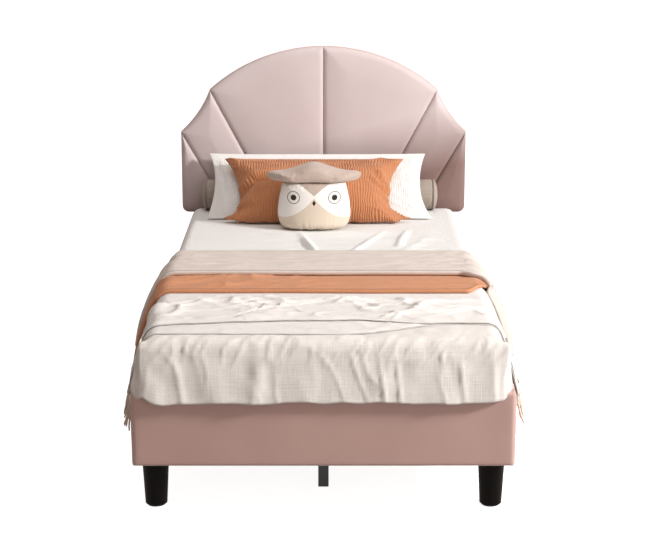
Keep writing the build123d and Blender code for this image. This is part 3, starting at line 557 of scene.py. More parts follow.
def bed_surface(u, v, drop, ripple):
    """The bare surface that a cloth follows. u is across the bed and v along it from the foot edge of
    the flat top; outside the flat top the cloth hangs down the sides and over the foot."""
    upper, lower = flares_along(np.maximum(v, 0), u)
    side = np.maximum(np.abs(u) - flat_half, 0)
    front = np.maximum(-v, 0)
    out, down = hang(side, upper, lower, drop)
    fall = np.clip((side - drape_radius) / drop, 0, 1.3)
    wide = noise(v / side_ripple_lengths[0], u * 0 + 2.5, 11)
    narrow = noise(v / side_ripple_lengths[1], side / ripple_run, 12)
    out = out + ripple * fall ** 1.2 * (0.7 * wide + 0.5 * narrow)
    turned = smooth(1 - front / corner_turn)
    x = np.where(side > 0, np.sign(u) * (flat_half + out * turned + side * (1 - turned)), u)
    front_out, front_down = hang(front, foot_flare_degrees + 0 * u, foot_hem_flare_degrees + 0 * u, foot_drop)
    fall = np.clip((front - drape_radius) / foot_drop, 0, 1.3)
    wide = 0.5 + 0.5 * noise(u / foot_ripple_lengths[0], u * 0 + 4.5, 21)
    narrow = 0.5 + 0.5 * noise(u / foot_ripple_lengths[1] + 2 * front, front / ripple_run, 22)
    front_out = front_out + ripple * fall ** 1.1 * (1.6 * wide + 0.9 * narrow)
    y = flat_front_y + np.maximum(v, 0) - front_out
    return np.stack([x, y, top_z - down * turned - front_down], -1)


def lay(u, v, height, drop=side_drop, ripple=cloth_ripple):
    """Points at a height over the bed's surface, along its normal."""
    step = 0.002
    du = bed_surface(u + step, v, drop, ripple) - bed_surface(u - step, v, drop, ripple)
    dv = bed_surface(u, v + step, drop, ripple) - bed_surface(u, v - step, drop, ripple)
    normal = np.cross(du, dv)
    normal /= np.linalg.norm(normal, axis=-1, keepdims=True)
    return bed_surface(u, v, drop, ripple) + normal * height[..., None]


def slab_layers(us, vs, thickness, rim_layers):
    """Flat places of a cloth with rounded rims: a top grid, rings round the rim and a bottom grid."""
    grid_u, grid_v = np.meshgrid(us, vs, indexing="ij")
    rows, columns = grid_u.shape
    flat_u, flat_v = grid_u.ravel(), grid_v.ravel()
    rim = rim_of(rows, columns)
    i, j = np.divmod(rim, columns)
    away = np.stack([(i == rows - 1) * 1.0 - (i == 0), (j == columns - 1) * 1.0 - (j == 0)])
    away /= np.hypot(*away)
    layers = [(flat_u, flat_v, np.full(flat_u.size, thickness))]
    for k in range(1, rim_layers):
        angle = math.pi * k / rim_layers
        reach = thickness / 2 * math.sin(angle)
        height = np.full(rim.size, thickness * (1 + math.cos(angle)) / 2)
        layers.append((flat_u[rim] + away[0] * reach, flat_v[rim] + away[1] * reach, height))
    layers.append((flat_u, flat_v, np.zeros(flat_u.size)))
    bottom = flat_u.size + rim.size * (rim_layers - 1)
    faces = grid_faces(rows, columns) + grid_faces(rows, columns, bottom, flip=True)
    between = [flat_u.size + k * rim.size + np.arange(rim.size) for k in range(rim_layers - 1)]
    rings = [rim, *between, bottom + rim]
    for first, second in zip(rings, rings[1:]):
        faces += band(first, second)
    return (*(np.concatenate(part) for part in zip(*layers)), faces)


def cloth_piece(name, half_width, v_range, thickness, material, height_at, drop, shift, rim_layers,
                swing=None):
    """A cloth laid across the bed. height_at gives its underside over the bed and the relief of its
    upper face; shift moves flat places, for hems that aren't straight, and swing moves laid points."""
    us = spaced(-half_width, half_width, cloth_step)
    u, v, h, faces = slab_layers(us, spaced(*v_range, cloth_step), thickness, rim_layers)
    flat = np.stack([u, v, 0 * u], -1)
    u, v = shift(u, v)
    lift, relief = height_at(u, v)
    side = np.maximum(np.abs(u) - flat_half, 0)
    relief = relief * (1 - 0.8 * smooth(side / side_relief_run))
    points = lay(u, v, lift + h + relief, drop)
    if swing is not None:
        points = swing(points, u, v)
    return add_object(name, points, faces, material, flat)


# Fitted sheet and mattress

def wrapped_surface(u, v, height):
    """A fitted sheet: flat on top, straight down all four sides, with drawn-in corners."""
    a = np.maximum(np.abs(u) - flat_half, 0)
    b = np.maximum(np.abs(v) - flat_half_length, 0)
    s = np.maximum(a, b)
    angle = np.where(s > 0, math.pi / 4 * (1 + (a - b) / np.maximum(s, 1e-9)), 0)
    arc = drape_radius * math.pi / 2
    on_arc = np.clip(s, 0, arc) / drape_radius
    radius = drape_radius + height
    out = radius * np.sin(on_arc)
    down = radius * np.cos(on_arc) - drape_radius - np.maximum(s - arc, 0)
    x = np.sign(u) * (np.minimum(np.abs(u), flat_half) + out * np.sin(angle))
    y = flat_middle_y + np.sign(v) * (np.minimum(np.abs(v), flat_half_length) + out * np.cos(angle))
    return np.stack([x, y, top_z + down], -1)


# each fold's line in x and y, its width and its height
sheet_folds = (
    (((-0.018, 0.10), (-0.042, 0.22), (-0.070, 0.38), (-0.092, 0.56)), 0.012, 0.013),
    (((0.080, 0.10), (0.128, 0.23), (0.201, 0.45), (0.262, 0.62)), 0.010, 0.008),
    (((0.255, 0.24), (0.266, 0.33), (0.290, 0.47), (0.330, 0.64)), 0.012, 0.009),
    (((0.235, 0.10), (0.330, 0.30), (0.400, 0.52)), 0.020, 0.005),
)
faint_creases = ((0.0025, 12, 0.07, 0.4, 35, 3),)
# where the folds end in y, and how fast they run out there
fold_window_low, fold_window_high = (0.118, 0.03), (0.54, 0.06)
fold_side_margin = 0.08
headboard_margin = 0.02
sheet_overhang = 0.183
sheet_step = 0.0075
sheet_thickness = 0.0018
gather_zone = (0.12, 0.06)
gather_depth, gather_length = 0.0016, 0.012


def tensioned_creases(u, v):
    """Folds of the sheet's bare part, which run out from under the cushions."""
    y = v + flat_middle_y
    folds = sum(ridge_relief(u, y, line, width, depth) for line, width, depth in sheet_folds)
    window = rise(y, *fold_window_low) * edge_fade(y, *fold_window_high)
    window = window * edge_fade(np.abs(u), flat_half, fold_side_margin)
    return window * (folds + creases(u, y, faint_creases))


def sheet_gathers(u, v):
    """Small gathers near the elastic, but none where the sheet slides past the headboard."""
    side = np.maximum(np.abs(u) - flat_half, np.abs(v) - flat_half_length)
    clear_of_headboard = 1 - rise(v, flat_half_length, headboard_margin)
    return clear_of_headboard * rise(side, *gather_zone) * gather_depth * noise(
        (u + v) / gather_length, (u - v) / gather_length, 41)


def fitted_sheet():
    half_u, half_v = flat_half + sheet_overhang, flat_half_length + sheet_overhang
    us, vs = spaced(-half_u, half_u, sheet_step), spaced(-half_v, half_v, sheet_step)
    u, v, h, faces = slab_layers(us, vs, sheet_thickness, 2)
    height = h - sheet_thickness + tensioned_creases(u, v) + sheet_gathers(u, v)
    obj = add_object("fitted_sheet_cloth", wrapped_surface(u, v, height), faces, sheet_cotton,
                     np.stack([u, v, 0 * u], -1))
    finish_piece(obj, "bedding", "sheet", "fitted_sheet")


def rounded_box(name, low, high, radius, step, material, relief):
    """A box with rounded edges as one closed grid mesh."""
    low, high = np.array(low), np.array(high)
    middle, half = (low + high) / 2, (high - low) / 2
    points, faces = [], []
    for axis in range(3):
        p, q = [k for k in range(3) if k != axis]
        us, vs = spaced(-half[p], half[p], step), spaced(-half[q], half[q], step)
        grid_u, grid_v = np.meshgrid(us, vs, indexing="ij")
        for sign in (-1, 1):
            cell = np.zeros((grid_u.size, 3))
            cell[:, p], cell[:, q] = grid_u.ravel(), grid_v.ravel()
            cell[:, axis] = sign * half[axis]
            faces += grid_faces(len(us), len(vs), sum(len(x) for x in points), flip=(sign > 0) == (axis == 1))
            points.append(cell)
    points = np.concatenate(points)
    core = np.clip(points, -(half - radius), half - radius)
    away = points - core
    away /= np.maximum(np.linalg.norm(away, axis=1, keepdims=True), 1e-9)
    out = core + away * radius
    obj = add_object(name, out + away * relief(out)[:, None] + middle, faces, material)
    weld(obj, step / 20)
    return obj


tape_height, tape_groove_depth, tape_groove_width = 0.078, 0.003, 0.004
foam_wave_depth, foam_wave_length = 0.0008, 0.1
mattress_corner = drape_radius - 0.002
mattress_step = 0.012


def mattress():
    low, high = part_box("mattress")

    def tape_lines(p):
        """A groove under each tape edge, and shallow waves of foam behind the ticking."""
        from_tape = np.abs(np.abs(p[:, 2]) - tape_height)
        foam = foam_wave_depth * noise(p[:, 0] / foam_wave_length, p[:, 1] / foam_wave_length, 51)
        return foam - tape_groove_depth * bell(from_tape, tape_groove_width)

    obj = rounded_box("mattress_core", low, high, mattress_corner, mattress_step, ticking, tape_lines)
    finish_piece(obj, "bedding", "mattress", "mattress")


# Coverlet and throw

# front edges of the throw's two layers: places across the bed, and distances from the flat top's foot edge
throw_edge_line = ((-0.6, -0.1, 0.08, 0.16, 0.29, 0.38, 0.50, 0.68),
                   (0.024, 0.021, 0.019, 0.042, 0.112, 0.130, 0.120, 0.050))
flap_edge_line = ((-0.6, -0.46, -0.40, -0.27, -0.1, 0.11, 0.16, 0.22, 0.29, 0.38, 0.50, 0.68),
                  (0.092, 0.104, 0.122, 0.140, 0.158, 0.162, 0.152, 0.138, 0.124, 0.134, 0.125, 0.058))


def throw_edge(u):
    return np.interp(u, *throw_edge_line)


def flap_edge(u):
    return np.interp(u, *flap_edge_line)


coverlet_thickness = 0.0026
apron_half = 0.496
return_width = 0.048
return_end_v = -0.024
corner_line = 0.006
coverlet_back_v = 0.614
coverlet_curve, coverlet_foot_hang = 0.045, 0.138
coverlet_side_reach = flat_half + coverlet_curve + side_drop
coverlet_front_reach = drape_radius * math.radians(90 - foot_flare_degrees) + coverlet_foot_hang
coverlet_hem_waves = ((0.004, 0.12, 1.5, 61), (0.003, 0.05, 0, 62))
# the hem's lift near its corners: height, place across the bed and width
coverlet_hem_lifts = ((0.015, -0.488, 0.016), (-0.005, -0.43, 0.03))
right_corner_lift, right_corner_zone = 0.006, (0.44, 0.06)
# how far the apron's edge swings out near its top and at its hem, left and right
left_edge_out, right_edge_out = (0.007, 0.001), (0.012, -0.007)
edge_fall = (0.04, 0.10)
edge_run_in = 0.05
edge_zone = (0.42, 0.07)
edge_wave = (0.003, 0.04)
return_turn = (0.10, 0.05)
return_run_in = 0.01
apron_creases = ((0.0055, 85, 0.060, 0.5, 63, 4),)
slanted_creases = ((0.0038, 74, 0.045, 0.26, 64, 7),)
edge_creases = ((0.0045, 58, 0.020, 0.09, 65, 5),)
edge_crease_v, edge_crease_width = -0.035, 0.05
apron_run_in, apron_zone, slanted_zone = 0.03, (0.02, 0.1), (0.03, 0.04)
pucker_depth, pucker_length, pucker_side_run = 0.0020, 0.035, 0.05
throw_zone = (-0.012, 0.02)


def coverlet_grid():
    """Flat places of the coverlet, and which cells between them are cloth: it is cut out at the two
    foot corners, so that its foot end hangs free."""
    beyond = spaced(apron_half, coverlet_side_reach, cloth_step)
    us = np.unique(np.concatenate([-beyond, spaced(-apron_half, apron_half, cloth_step), beyond]))
    vs = np.unique(np.concatenate([spaced(-coverlet_front_reach, corner_line, cloth_step),
                                   spaced(corner_line, coverlet_back_v, cloth_step)]))
    middle_u, middle_v = (us[:-1] + us[1:]) / 2, (vs[:-1] + vs[1:]) / 2
    past_apron = np.abs(middle_u)[:, None] - apron_half
    returned = (past_apron < return_width) & (middle_v[None, :] < return_end_v)
    keep = (past_apron < 0) | (middle_v[None, :] > corner_line) | returned
    return (*np.meshgrid(us, vs, indexing="ij"), keep)


def coverlet_places(grid_u, grid_v, back):
    """Where the flat places are laid, so that the hem and the apron's edges aren't dead straight."""
    hem = np.clip(-grid_v / coverlet_front_reach, 0, 1) ** 2
    lift = sum(height * bell(grid_u - place, width) for height, place, width in coverlet_hem_lifts)
    lift = lift + right_corner_lift * rise(grid_u, *right_corner_zone)
    v = grid_v + hem * (hem_wobble(grid_u, coverlet_hem_waves) + lift)
    v = v - 0.15 * back / return_width * np.minimum(grid_v, 0)
    front = np.maximum(-v, 0)
    edge_top, edge_low = (np.where(grid_u > 0, right, left)
                          for left, right in zip(left_edge_out, right_edge_out))
    down = np.clip((front - edge_fall[0]) / edge_fall[1], 0, 1)
    edge_out = (edge_top + (edge_low - edge_top) * down) * smooth(front / edge_run_in)
    edge_out = edge_out + edge_wave[0] * noise(front / edge_wave[1], grid_u, 68)
    near_edge = rise(np.abs(grid_u), *edge_zone) * (front > 0)
    u = np.where(front > 0, np.minimum(np.abs(grid_u), apron_half), np.abs(grid_u)) + edge_out * near_edge
    return np.sign(grid_u) * u, v, front, down


def coverlet_relief(u, v, front):
    """Folds of the apron and puckers on top, where the throw doesn't hold the coverlet flat."""
    folds = creases(u, front, apron_creases) * rise(front, *apron_zone) * smooth(front / apron_run_in)
    slanted = creases(u, front, slanted_creases) * rise(front, *slanted_zone)
    small = creases(u, v, edge_creases) * bell(v - edge_crease_v, edge_crease_width)
    side = np.maximum(np.abs(u) - flat_half, 0)
    puckers = (1 + noise(u / pucker_length, v / pucker_length, 67)) * (1 - smooth(side / pucker_side_run))
    bare = 1 - rise(v - throw_edge(u), *throw_zone)
    return bare * (folds + slanted + small + pucker_depth * puckers)


def shell_faces(keep, columns, count):
    """Faces of a cloth whose cells are kept or cut out: its outer side, its inner side and its rims."""
    faces, edges = [], {}
    for i, j in np.argwhere(keep).tolist():
        a = i * columns + j
        corners = (a, a + 1, a + columns + 1, a + columns)
        faces.append(corners)
        faces.append(tuple(count + k for k in corners[::-1]))
        for p, q in zip(corners, corners[1:] + corners[:1]):
            if (q, p) in edges:
                del edges[q, p]
            else:
                edges[p, q] = True
    return faces + [(q, p, count + p, count + q) for p, q in edges]


def drop_loose_points(obj):
    mesh = bmesh.new()
    mesh.from_mesh(obj.data)
    bmesh.ops.delete(mesh, geom=[point for point in mesh.verts if not point.link_faces], context="VERTS")
    mesh.to_mesh(obj.data)
    mesh.free()


def coverlet():
    """Linen coverlet. Beside the apron it returns along the bed's sides."""
    grid_u, grid_v, keep = coverlet_grid()
    back = np.clip(np.abs(grid_u) - apron_half, 0, return_width) * (grid_v < 0)
    u, v, front, down = coverlet_places(grid_u, grid_v, back)
    heights = cloth_gap + coverlet_relief(grid_u, v, front)
    side, none = np.sign(grid_u), 0 * back
    turned = 0.9 - 0.45 * rise(front, *return_turn)
    turned_back = np.stack([side * 0.5 * back * down, turned * back, none], -1)
    beside = np.stack([side * coverlet_thickness * smooth(back / return_run_in), none, none], -1)
    outer = lay(u, v, heights + coverlet_thickness) + turned_back + beside
    inner = lay(u, v, heights) + turned_back
    flat = np.stack([grid_u, grid_v, none], -1).reshape(-1, 3)
    points = np.concatenate([outer.reshape(-1, 3), inner.reshape(-1, 3)])
    faces = shell_faces(keep, grid_u.shape[1], grid_u.size)
    obj = add_object("coverlet_cloth", points, faces, linen, np.concatenate([flat, flat]))
    drop_loose_points(obj)
    finish_piece(obj, "bedding", "coverlet", "coverlet")


side_curve = 0.042
throw_drop = 0.182
throw_half_width = flat_half + side_curve + throw_drop
throw_back_v = 0.612 - drape_radius
throw_thickness = 0.0016
# room that the layers below take up: the coverlet, then both layers of the throw, then the rust blanket
coverlet_layer, throw_layers, rust_layer = 0.003, 0.004, 0.013
throw_lift = 2 * cloth_gap + coverlet_layer
throw_front_v = 0.024
flap_front_v = 0.085
flap_inset = 0.004
rust_front_v = 0.514 - drape_radius
crumple_creases = ((0.0100, 28, 0.036, 0.15, 71, 6), (0.0085, -30, 0.040, 0.15, 73, 6),
                   (0.0065, 4, 0.034, 0.26, 75, 5))
lower_hem_waves = ((0.002, 0.03, 0.5, 81),)
flap_hem_waves = ((0.005, 0.05, 0.5, 83), (0.002, 0.016, 0.5, 84))
# height of the turned edge, and the part of the bed across which the lower one and the gap change
turned_edge_width, lower_edge_height, flap_edge_height = 0.008, 0.0006, 0.0008
right_change = (0.35, 0.15)
flap_apart, flap_more_apart = 0.0008, 0.0006
lower_shown, lower_run_in = (-0.004, 0.02), 0.014
flap_bare, flap_run_in = (rust_front_v - 0.004, 0.12), (0.002, 0.03)
# broad waves, patches and fine waves of the crumpled top: lengths across and along, then heights
broad_lengths, patch_lengths, fine_lengths = (0.14, 0.08), (0.16, 0.09), (0.02, 0.02)
broad_height, fine_height = 0.0035, 0.0012
side_hem_rise, side_hem_fall, side_hem_zone = 0.026, (0.05, 0.17), (0.03, 0.12)
corner_inward, corner_forward, corner_down = 0.020, 0.050, 0.006
corner_fall, corner_zone = (0.04, 0.18), (0.12, 0.11)
rail_clearance, rail_margin = 0.004, 0.01


def crumple(u, v):
    """Crushed look of the throw's top: short creases in several directions."""
    broad, patches, fine = (noise(u / across, v / along, seed) for (across, along), seed in
                            ((broad_lengths, 78), (patch_lengths, 79), (fine_lengths, 77)))
    share = 0.3 + 0.7 * smooth(0.45 + 0.9 * patches)
    return broad_height * (1 + broad) + share * (creases(u, v, crumple_creases) + fine_height * fine)


def throw_side_shift(u, v):
    """Its side hems rise a little away from the front corner."""
    fall = np.clip((np.abs(u) - flat_half - side_hem_fall[0]) / side_hem_fall[1], 0, 1)
    return u - np.sign(u) * side_hem_rise * rise(v, *side_hem_zone) * fall


def throw_corner_swing(points, u, v):
    """Its front corners swing inward and forward."""
    fall = np.clip((np.abs(u) - flat_half - corner_fall[0]) / corner_fall[1], 0, 1.2) ** 1.5
    share = edge_fade(v, *corner_zone) * fall
    swing = (np.sign(u) * corner_inward, corner_forward, corner_down)
    out = points - np.stack([part * share for part in swing], -1)
    rail_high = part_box("foot_rail_cover")[1]
    beside = rail_high.x + rail_clearance
    low = out[..., 2] < rail_high.z + rail_margin
    out[..., 0] = np.where(low & (np.abs(out[..., 0]) < beside), np.sign(u) * beside, out[..., 0])
    return out


def throw_layer(name, half_width, front_v, edge, waves, height):
    """One layer of the throw, with its front hem drawn to an edge line."""
    def shift(u, v):
        share = np.clip((throw_back_v - v) / (throw_back_v - front_v), 0, 1.01)
        v = throw_back_v - share * (throw_back_v - edge(u)) + hem_wobble(u, waves) * share
        return throw_side_shift(u, v), v

    obj = cloth_piece(name, half_width, (front_v, throw_back_v), throw_thickness, throw_weave, height,
                      throw_drop, shift, 3, throw_corner_swing)
    return obj, throw_back_v - front_v


def lower_throw_height(u, v):
    shown = edge_fade(v - flap_edge(u), *lower_shown) * rise(v, throw_edge(u), lower_run_in)
    raised = lower_edge_height * bell(v - throw_edge(u), turned_edge_width) * edge_fade(u, *right_change)
    return throw_lift + raised, shown * 0.45 * crumple(u, v)


def upper_throw_height(u, v):
    shown = edge_fade(v, *flap_bare) * rise(v - flap_edge(u), *flap_run_in)
    raised = flap_edge_height * bell(v - flap_edge(u), turned_edge_width)
    apart = flap_apart + flap_more_apart * edge_fade(u, *right_change)
    return throw_lift + throw_thickness + apart + raised, shown * crumple(u, v)


def throw():
    """Fringed throw: its lower layer shows as a strip at the front, under a layer folded back on it."""
    lower, length = throw_layer("throw_lower_layer", throw_half_width, throw_front_v, throw_edge,
                                lower_hem_waves, lower_throw_height)
    finish_piece(lower, "bedding", "throw", "fringed_throw")
    upper, upper_length = throw_layer("throw_upper_layer", throw_half_width - flap_inset, flap_front_v,
                                      flap_edge, flap_hem_waves, upper_throw_height)
    finish_piece(upper, "bedding", "throw")
    throw_fringe()


fringe_pitch = 0.0098
fringe_length = 0.059
fringe_ripple = 0.008
fringe_start_margin = 0.010
fringe_end_v = (rust_front_v, 0.566)
knot_height, knot_overlap = 0.001, 0.006
strand_scatter, strand_sway = 0.002, 0.003
strand_sides = 6
strand_radii = (0.0012, 0.0028, 0.0038, 0.0026, 0.0026, 0.0025, 0.0025, 0.0024, 0.0018)


def tube_along(points, radii):
    """Points of rings round a line of points."""
    ahead = np.gradient(points, axis=0)
    ahead /= np.linalg.norm(ahead, axis=1, keepdims=True)
    across = np.cross(ahead, (0.0, 1.0, 0.0))
    across /= np.linalg.norm(across, axis=1, keepdims=True)
    other = np.cross(ahead, across)
    angles = np.linspace(0, 2 * math.pi, strand_sides, endpoint=False)[:, None]
    rings = [p + r * (np.cos(angles) * a + np.sin(angles) * o)
             for p, r, a, o in zip(points, radii, across, other)]
    return np.concatenate(rings)


def strand_line(side, v, random):
    """One strand: from its knot on the side hem down, with a lean and a sway of its own."""
    v = np.array([v + random.uniform(-strand_scatter, strand_scatter)])
    hem = throw_side_shift(np.array([side * throw_half_width]), v)
    height = np.array([throw_lift + knot_height])
    start, above = (throw_corner_swing(lay(u, v, height, throw_drop, fringe_ripple), hem, v)[0]
                    for u in (hem, hem - side * knot_overlap))
    length = fringe_length * random.uniform(0.85, 1.08)
    lean_y = random.uniform(-0.50, 0.12)
    lean_x = side * random.uniform(0.05, 0.34)
    shares = np.linspace(0, 1, len(strand_radii) - 1)
    sway = strand_sway * np.sin(shares * math.pi * random.uniform(1.0, 2.0) + random.uniform(0, 3))
    line = start + np.stack([lean_x * length * shares + sway * 0.5, lean_y * length * shares + sway * shares,
                             -length * shares], -1)
    return np.concatenate([above[None], line])


def throw_fringe():
    """Knotted strands along both side hems of the throw."""
    random = np.random.RandomState(91)
    strands, faces = [], []
    for side, last in zip((-1, 1), fringe_end_v):
        first = throw_edge(side * throw_half_width) + fringe_start_margin
        for k in range(int((last - first) / fringe_pitch)):
            line = strand_line(side, first + k * fringe_pitch, random)
            faces += tube_faces(len(strand_radii), strand_sides, sum(len(strand) for strand in strands))
            strands.append(tube_along(line, strand_radii))
    points = np.concatenate(strands)
    obj = add_object("throw_fringe", points, faces, fringe_yarn, points)
    return finish_piece(obj, "bedding", "throw")


# Blankets

blanket_drop = 0.222
blanket_half_width = flat_half + side_curve + blanket_drop
blanket_rim_layers = 8
rust_back_v = 0.860 - drape_radius
rust_thickness = 0.0125
rust_height = 3 * cloth_gap + coverlet_layer + throw_layers
taupe_front_v, taupe_back_v = 0.724 - drape_radius, 1.076 - drape_radius
taupe_thickness = 0.0145
taupe_height = 2 * cloth_gap + rust_layer
# places along the bed, from the mattress's foot, where a blanket comes off what it lies on
throw_step_y, rust_step_y = 0.6528, 0.8608
step_length = 0.034
rust_ripples = ((0.0050, 6, 0.034, 0.40, 101, 3),)
rust_left_ripples = ((0.0080, 20, 0.030, 0.22, 103, 4), (0.0060, 12, 0.022, 0.20, 104, 4))
taupe_ripples = ((0.0070, 4, 0.026, 0.50, 111, 4), (0.0070, -6, 0.030, 0.34, 113, 4),
                 (0.0045, 11, 0.018, 0.24, 115, 4))
rust_hem_waves = ((0.007, 0.14, 0.5, 107),)
taupe_front_waves = ((0.004, 0.16, 0.5, 117),)
taupe_back_waves = ((0.006, 0.2, 0.5, 119),)
rust_drawn_back, rust_drawn_zone = 0.170, (0.43, 0.09)
rust_shown, rust_run_in = (taupe_front_v - 0.022, 0.05), (0.010, 0.03)
rust_calm_zone = (0.3, 0.1)
left_run = 0.5
taupe_front_run_in, taupe_back_run_out = (0.012, 0.03), (-0.008, 0.03)
taupe_side_zone = (0.2, 0.25)
over_throw_height = 2 * cloth_gap + coverlet_layer + throw_layers
rust_clear_zone = (-0.036, 0.028)
taupe_drawn_forward, taupe_drawn_zone = 0.096, (0.42, 0.10)


def step_lift(v, edge, high, low):
    """Height that falls from one level to the next as a cloth comes off the edge of what it lies on."""
    return high + (low - high) * smooth((v + drape_radius - edge) / step_length)


def rust_front(u):
    """The rust blanket's front edge, which is drawn back under the next blanket at the right side."""
    return rust_front_v + rust_drawn_back * rise(u, *rust_drawn_zone)


def rust_blanket():
    def height(u, v):
        shown = edge_fade(v, *rust_shown) * rise(v - rust_front_v, *rust_run_in)
        left = smooth((0.5 * left_run - u) / left_run)
        ripples = creases(u, v, rust_ripples) + left * creases(u, v, rust_left_ripples)
        return step_lift(v, throw_step_y, rust_height, cloth_gap), shown * ripples

    def shift(u, v):
        share = np.clip((rust_back_v - v) / (rust_back_v - rust_front_v), 0, 1.02)
        wobble = hem_wobble(u, rust_hem_waves) * (1 - rise(u, *rust_calm_zone))
        return u, v + (wobble + rust_front(u) - rust_front_v) * share

    obj = cloth_piece("rust_blanket_cloth", blanket_half_width, (rust_front_v, rust_back_v), rust_thickness,
                      rust_weave, height, blanket_drop, shift, blanket_rim_layers)
    finish_piece(obj, "bedding", "rust", "rust_blanket")


def taupe_blanket():
    def height(u, v):
        toward_sides = 0.6 + 0.4 * rise(np.abs(u), *taupe_side_zone)
        from_front = rise(v - taupe_front_v, *taupe_front_run_in)
        from_back = edge_fade(v - taupe_back_v, *taupe_back_run_out)
        over_throw = step_lift(v, throw_step_y, over_throw_height, 0)
        covering = step_lift(v, rust_step_y, taupe_height, cloth_gap) + over_throw
        before_rust = 1 - rise(v - rust_front(u), *rust_clear_zone)
        lift = covering + (throw_lift - covering) * before_rust
        return lift, creases(u, v, taupe_ripples) * toward_sides * from_front * from_back

    def shift(u, v):
        share = np.clip((taupe_back_v - v) / (taupe_back_v - taupe_front_v), -0.02, 1.02)
        front_line = hem_wobble(u, taupe_front_waves) - taupe_drawn_forward * rise(u, *taupe_drawn_zone)
        return u, v + front_line * share + hem_wobble(u, taupe_back_waves) * (1 - share)

    obj = cloth_piece("taupe_blanket_cloth", blanket_half_width, (taupe_front_v, taupe_back_v),
                      taupe_thickness, taupe_weave, height, blanket_drop, shift, blanket_rim_layers)
    finish_piece(obj, "bedding", "taupe", "taupe_blanket")


# Cushions

def inflate(obj, pressure, frames):
    """Blows a closed mesh up as cloth and keeps the result."""
    modifier = obj.modifiers.new("cloth", "CLOTH")
    settings = modifier.settings
    settings.quality = 6
    settings.mass = 0.3
    settings.tension_stiffness = 15.0
    settings.compression_stiffness = 15.0
    settings.shear_stiffness = 5.0
    settings.bending_stiffness = 0.1
    settings.use_pressure = True
    settings.uniform_pressure_force = pressure
    settings.shrink_min = 0.0
    settings.effector_weights.gravity = 0
    modifier.collision_settings.use_collision = False
    modifier.point_cache.frame_start = 1
    modifier.point_cache.frame_end = frames
    for number in range(1, frames + 1):
        scene.frame_set(number)
    apply_modifiers(obj)
    scene.frame_set(1)


pillow_cell = 0.0095
panel_gap = 0.006
pillow_pressure, pillow_frames = 5.0, 22
# the ribs' bends: height, and lengths along the height and the width
crinkle_waves = ((0.005, 0.035, 0.05), (0.003, 0.014, 0.03))
rib_patch_lengths = (0.04, 0.06)
fan_length, fan_run_in, fan_fade = 0.12, 0.03, 0.12
pull_width, pull_length, pull_run_in, pull_fade = 0.030, 0.10, 0.03, 0.05
rim_zone = (0.002, 0.012)
slump_from, sheet_clearance = 0.01, 0.0009
owl_clearance, owl_top_margin = 0.006, 0.02
# each fold's line in shares of the pillow's half width and half height, its width and its height
pillow_looks = (
    {"name": "white_pillow", "material": white_crinkle, "size": (0.812, 0.306), "x": -0.022,
     "foot": (0.2556, 0.0021), "lean": 43.0, "front": 0.020, "back": 0.034, "seed": 171,
     "end_drawn": 0.026, "side_drawn": 0.004, "end_power": 2.0, "ear_out": 0.020, "ear_rise": 0.0,
     "waist": 0.1, "slump": 0.2, "sag": 0.0, "rib_pitch": 0.0085, "rib_depth": 0.0012, "wrinkle": 0.014,
     "folds": ((((-0.92, 0.75), (-0.84, 0.2), (-0.80, -0.4)), 0.014, 0.006),
               (((0.90, 0.8), (0.86, 0.2), (0.92, -0.5)), 0.014, -0.006))},
    {"name": "rust_pillow", "material": rust_crinkle, "size": (0.672, 0.282), "x": -0.034,
     "foot": (0.3123, 0.0017), "lean": 46.0, "front": 0.104, "back": 0.015, "seed": 173,
     "end_drawn": 0.066, "side_drawn": 0.004, "end_power": 2.3, "ear_out": 0.030, "ear_rise": 0.020,
     "waist": -0.35, "slump": 0.9, "sag": 0.22, "rib_pitch": 0.0092, "rib_depth": 0.0019, "wrinkle": 0.018,
     "folds": ((((-0.84, -0.30), (-0.66, 0.02), (-0.34, 0.10)), 0.020, 0.013),
               (((0.84, -0.28), (0.72, 0.05), (0.66, 0.35)), 0.014, -0.009),
               (((0.84, -0.38), (0.73, -0.14), (0.58, -0.02)), 0.014, -0.009),
               (((0.90, -0.62), (0.80, -0.42), (0.66, -0.38)), 0.014, -0.009),
               (((-0.92, -0.80), (-0.80, -0.66), (-0.62, -0.66)), 0.014, 0.008))},
)


def pillow_blank(name, size, material):
    """Two panels sewn together round their rim, slightly parted."""
    columns, rows = int(size[0] / pillow_cell), int(size[1] / pillow_cell)
    grid_x, grid_y = np.meshgrid(np.linspace(-size[0] / 2, size[0] / 2, columns + 1),
                                 np.linspace(-size[1] / 2, size[1] / 2, rows + 1), indexing="ij")
    part = panel_gap * (1 - (2 * grid_x / size[0]) ** 8) * (1 - (2 * grid_y / size[1]) ** 8)
    front = np.stack([grid_x, grid_y, part], -1).reshape(-1, 3)
    faces = grid_faces(columns + 1, rows + 1)
    index = np.arange((columns + 1) * (rows + 1)).reshape(columns + 1, rows + 1)
    inner = index[1:-1, 1:-1].ravel()
    back_index = index.copy()
    back_index[1:-1, 1:-1] = len(front) + np.arange(len(inner)).reshape(columns - 1, rows - 1)
    back_faces = [tuple(back_index.ravel()[k] for k in face[::-1]) for face in faces]
    points = np.concatenate([front, front[inner] * (1, 1, -1)])
    return add_object(name, points, faces + back_faces, material, points)


def owl_back(x, z):
    """The owl cushion's back as a place along Y; far in front of the cushions where it isn't there."""
    low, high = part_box("owl_body")
    half_x, half_y = (high.x - low.x) / 2 + owl_clearance, (high.y - low.y) / 2 + owl_clearance
    inside = np.maximum(1 - ((x - (low.x + high.x) / 2) / half_x) ** 2, 0)
    far_in_front = -10.0
    back = (low.y + high.y) / 2 + half_y * np.sqrt(inside)
    return np.where((inside > 0) & (z < high.z + owl_top_margin), back, far_in_front)


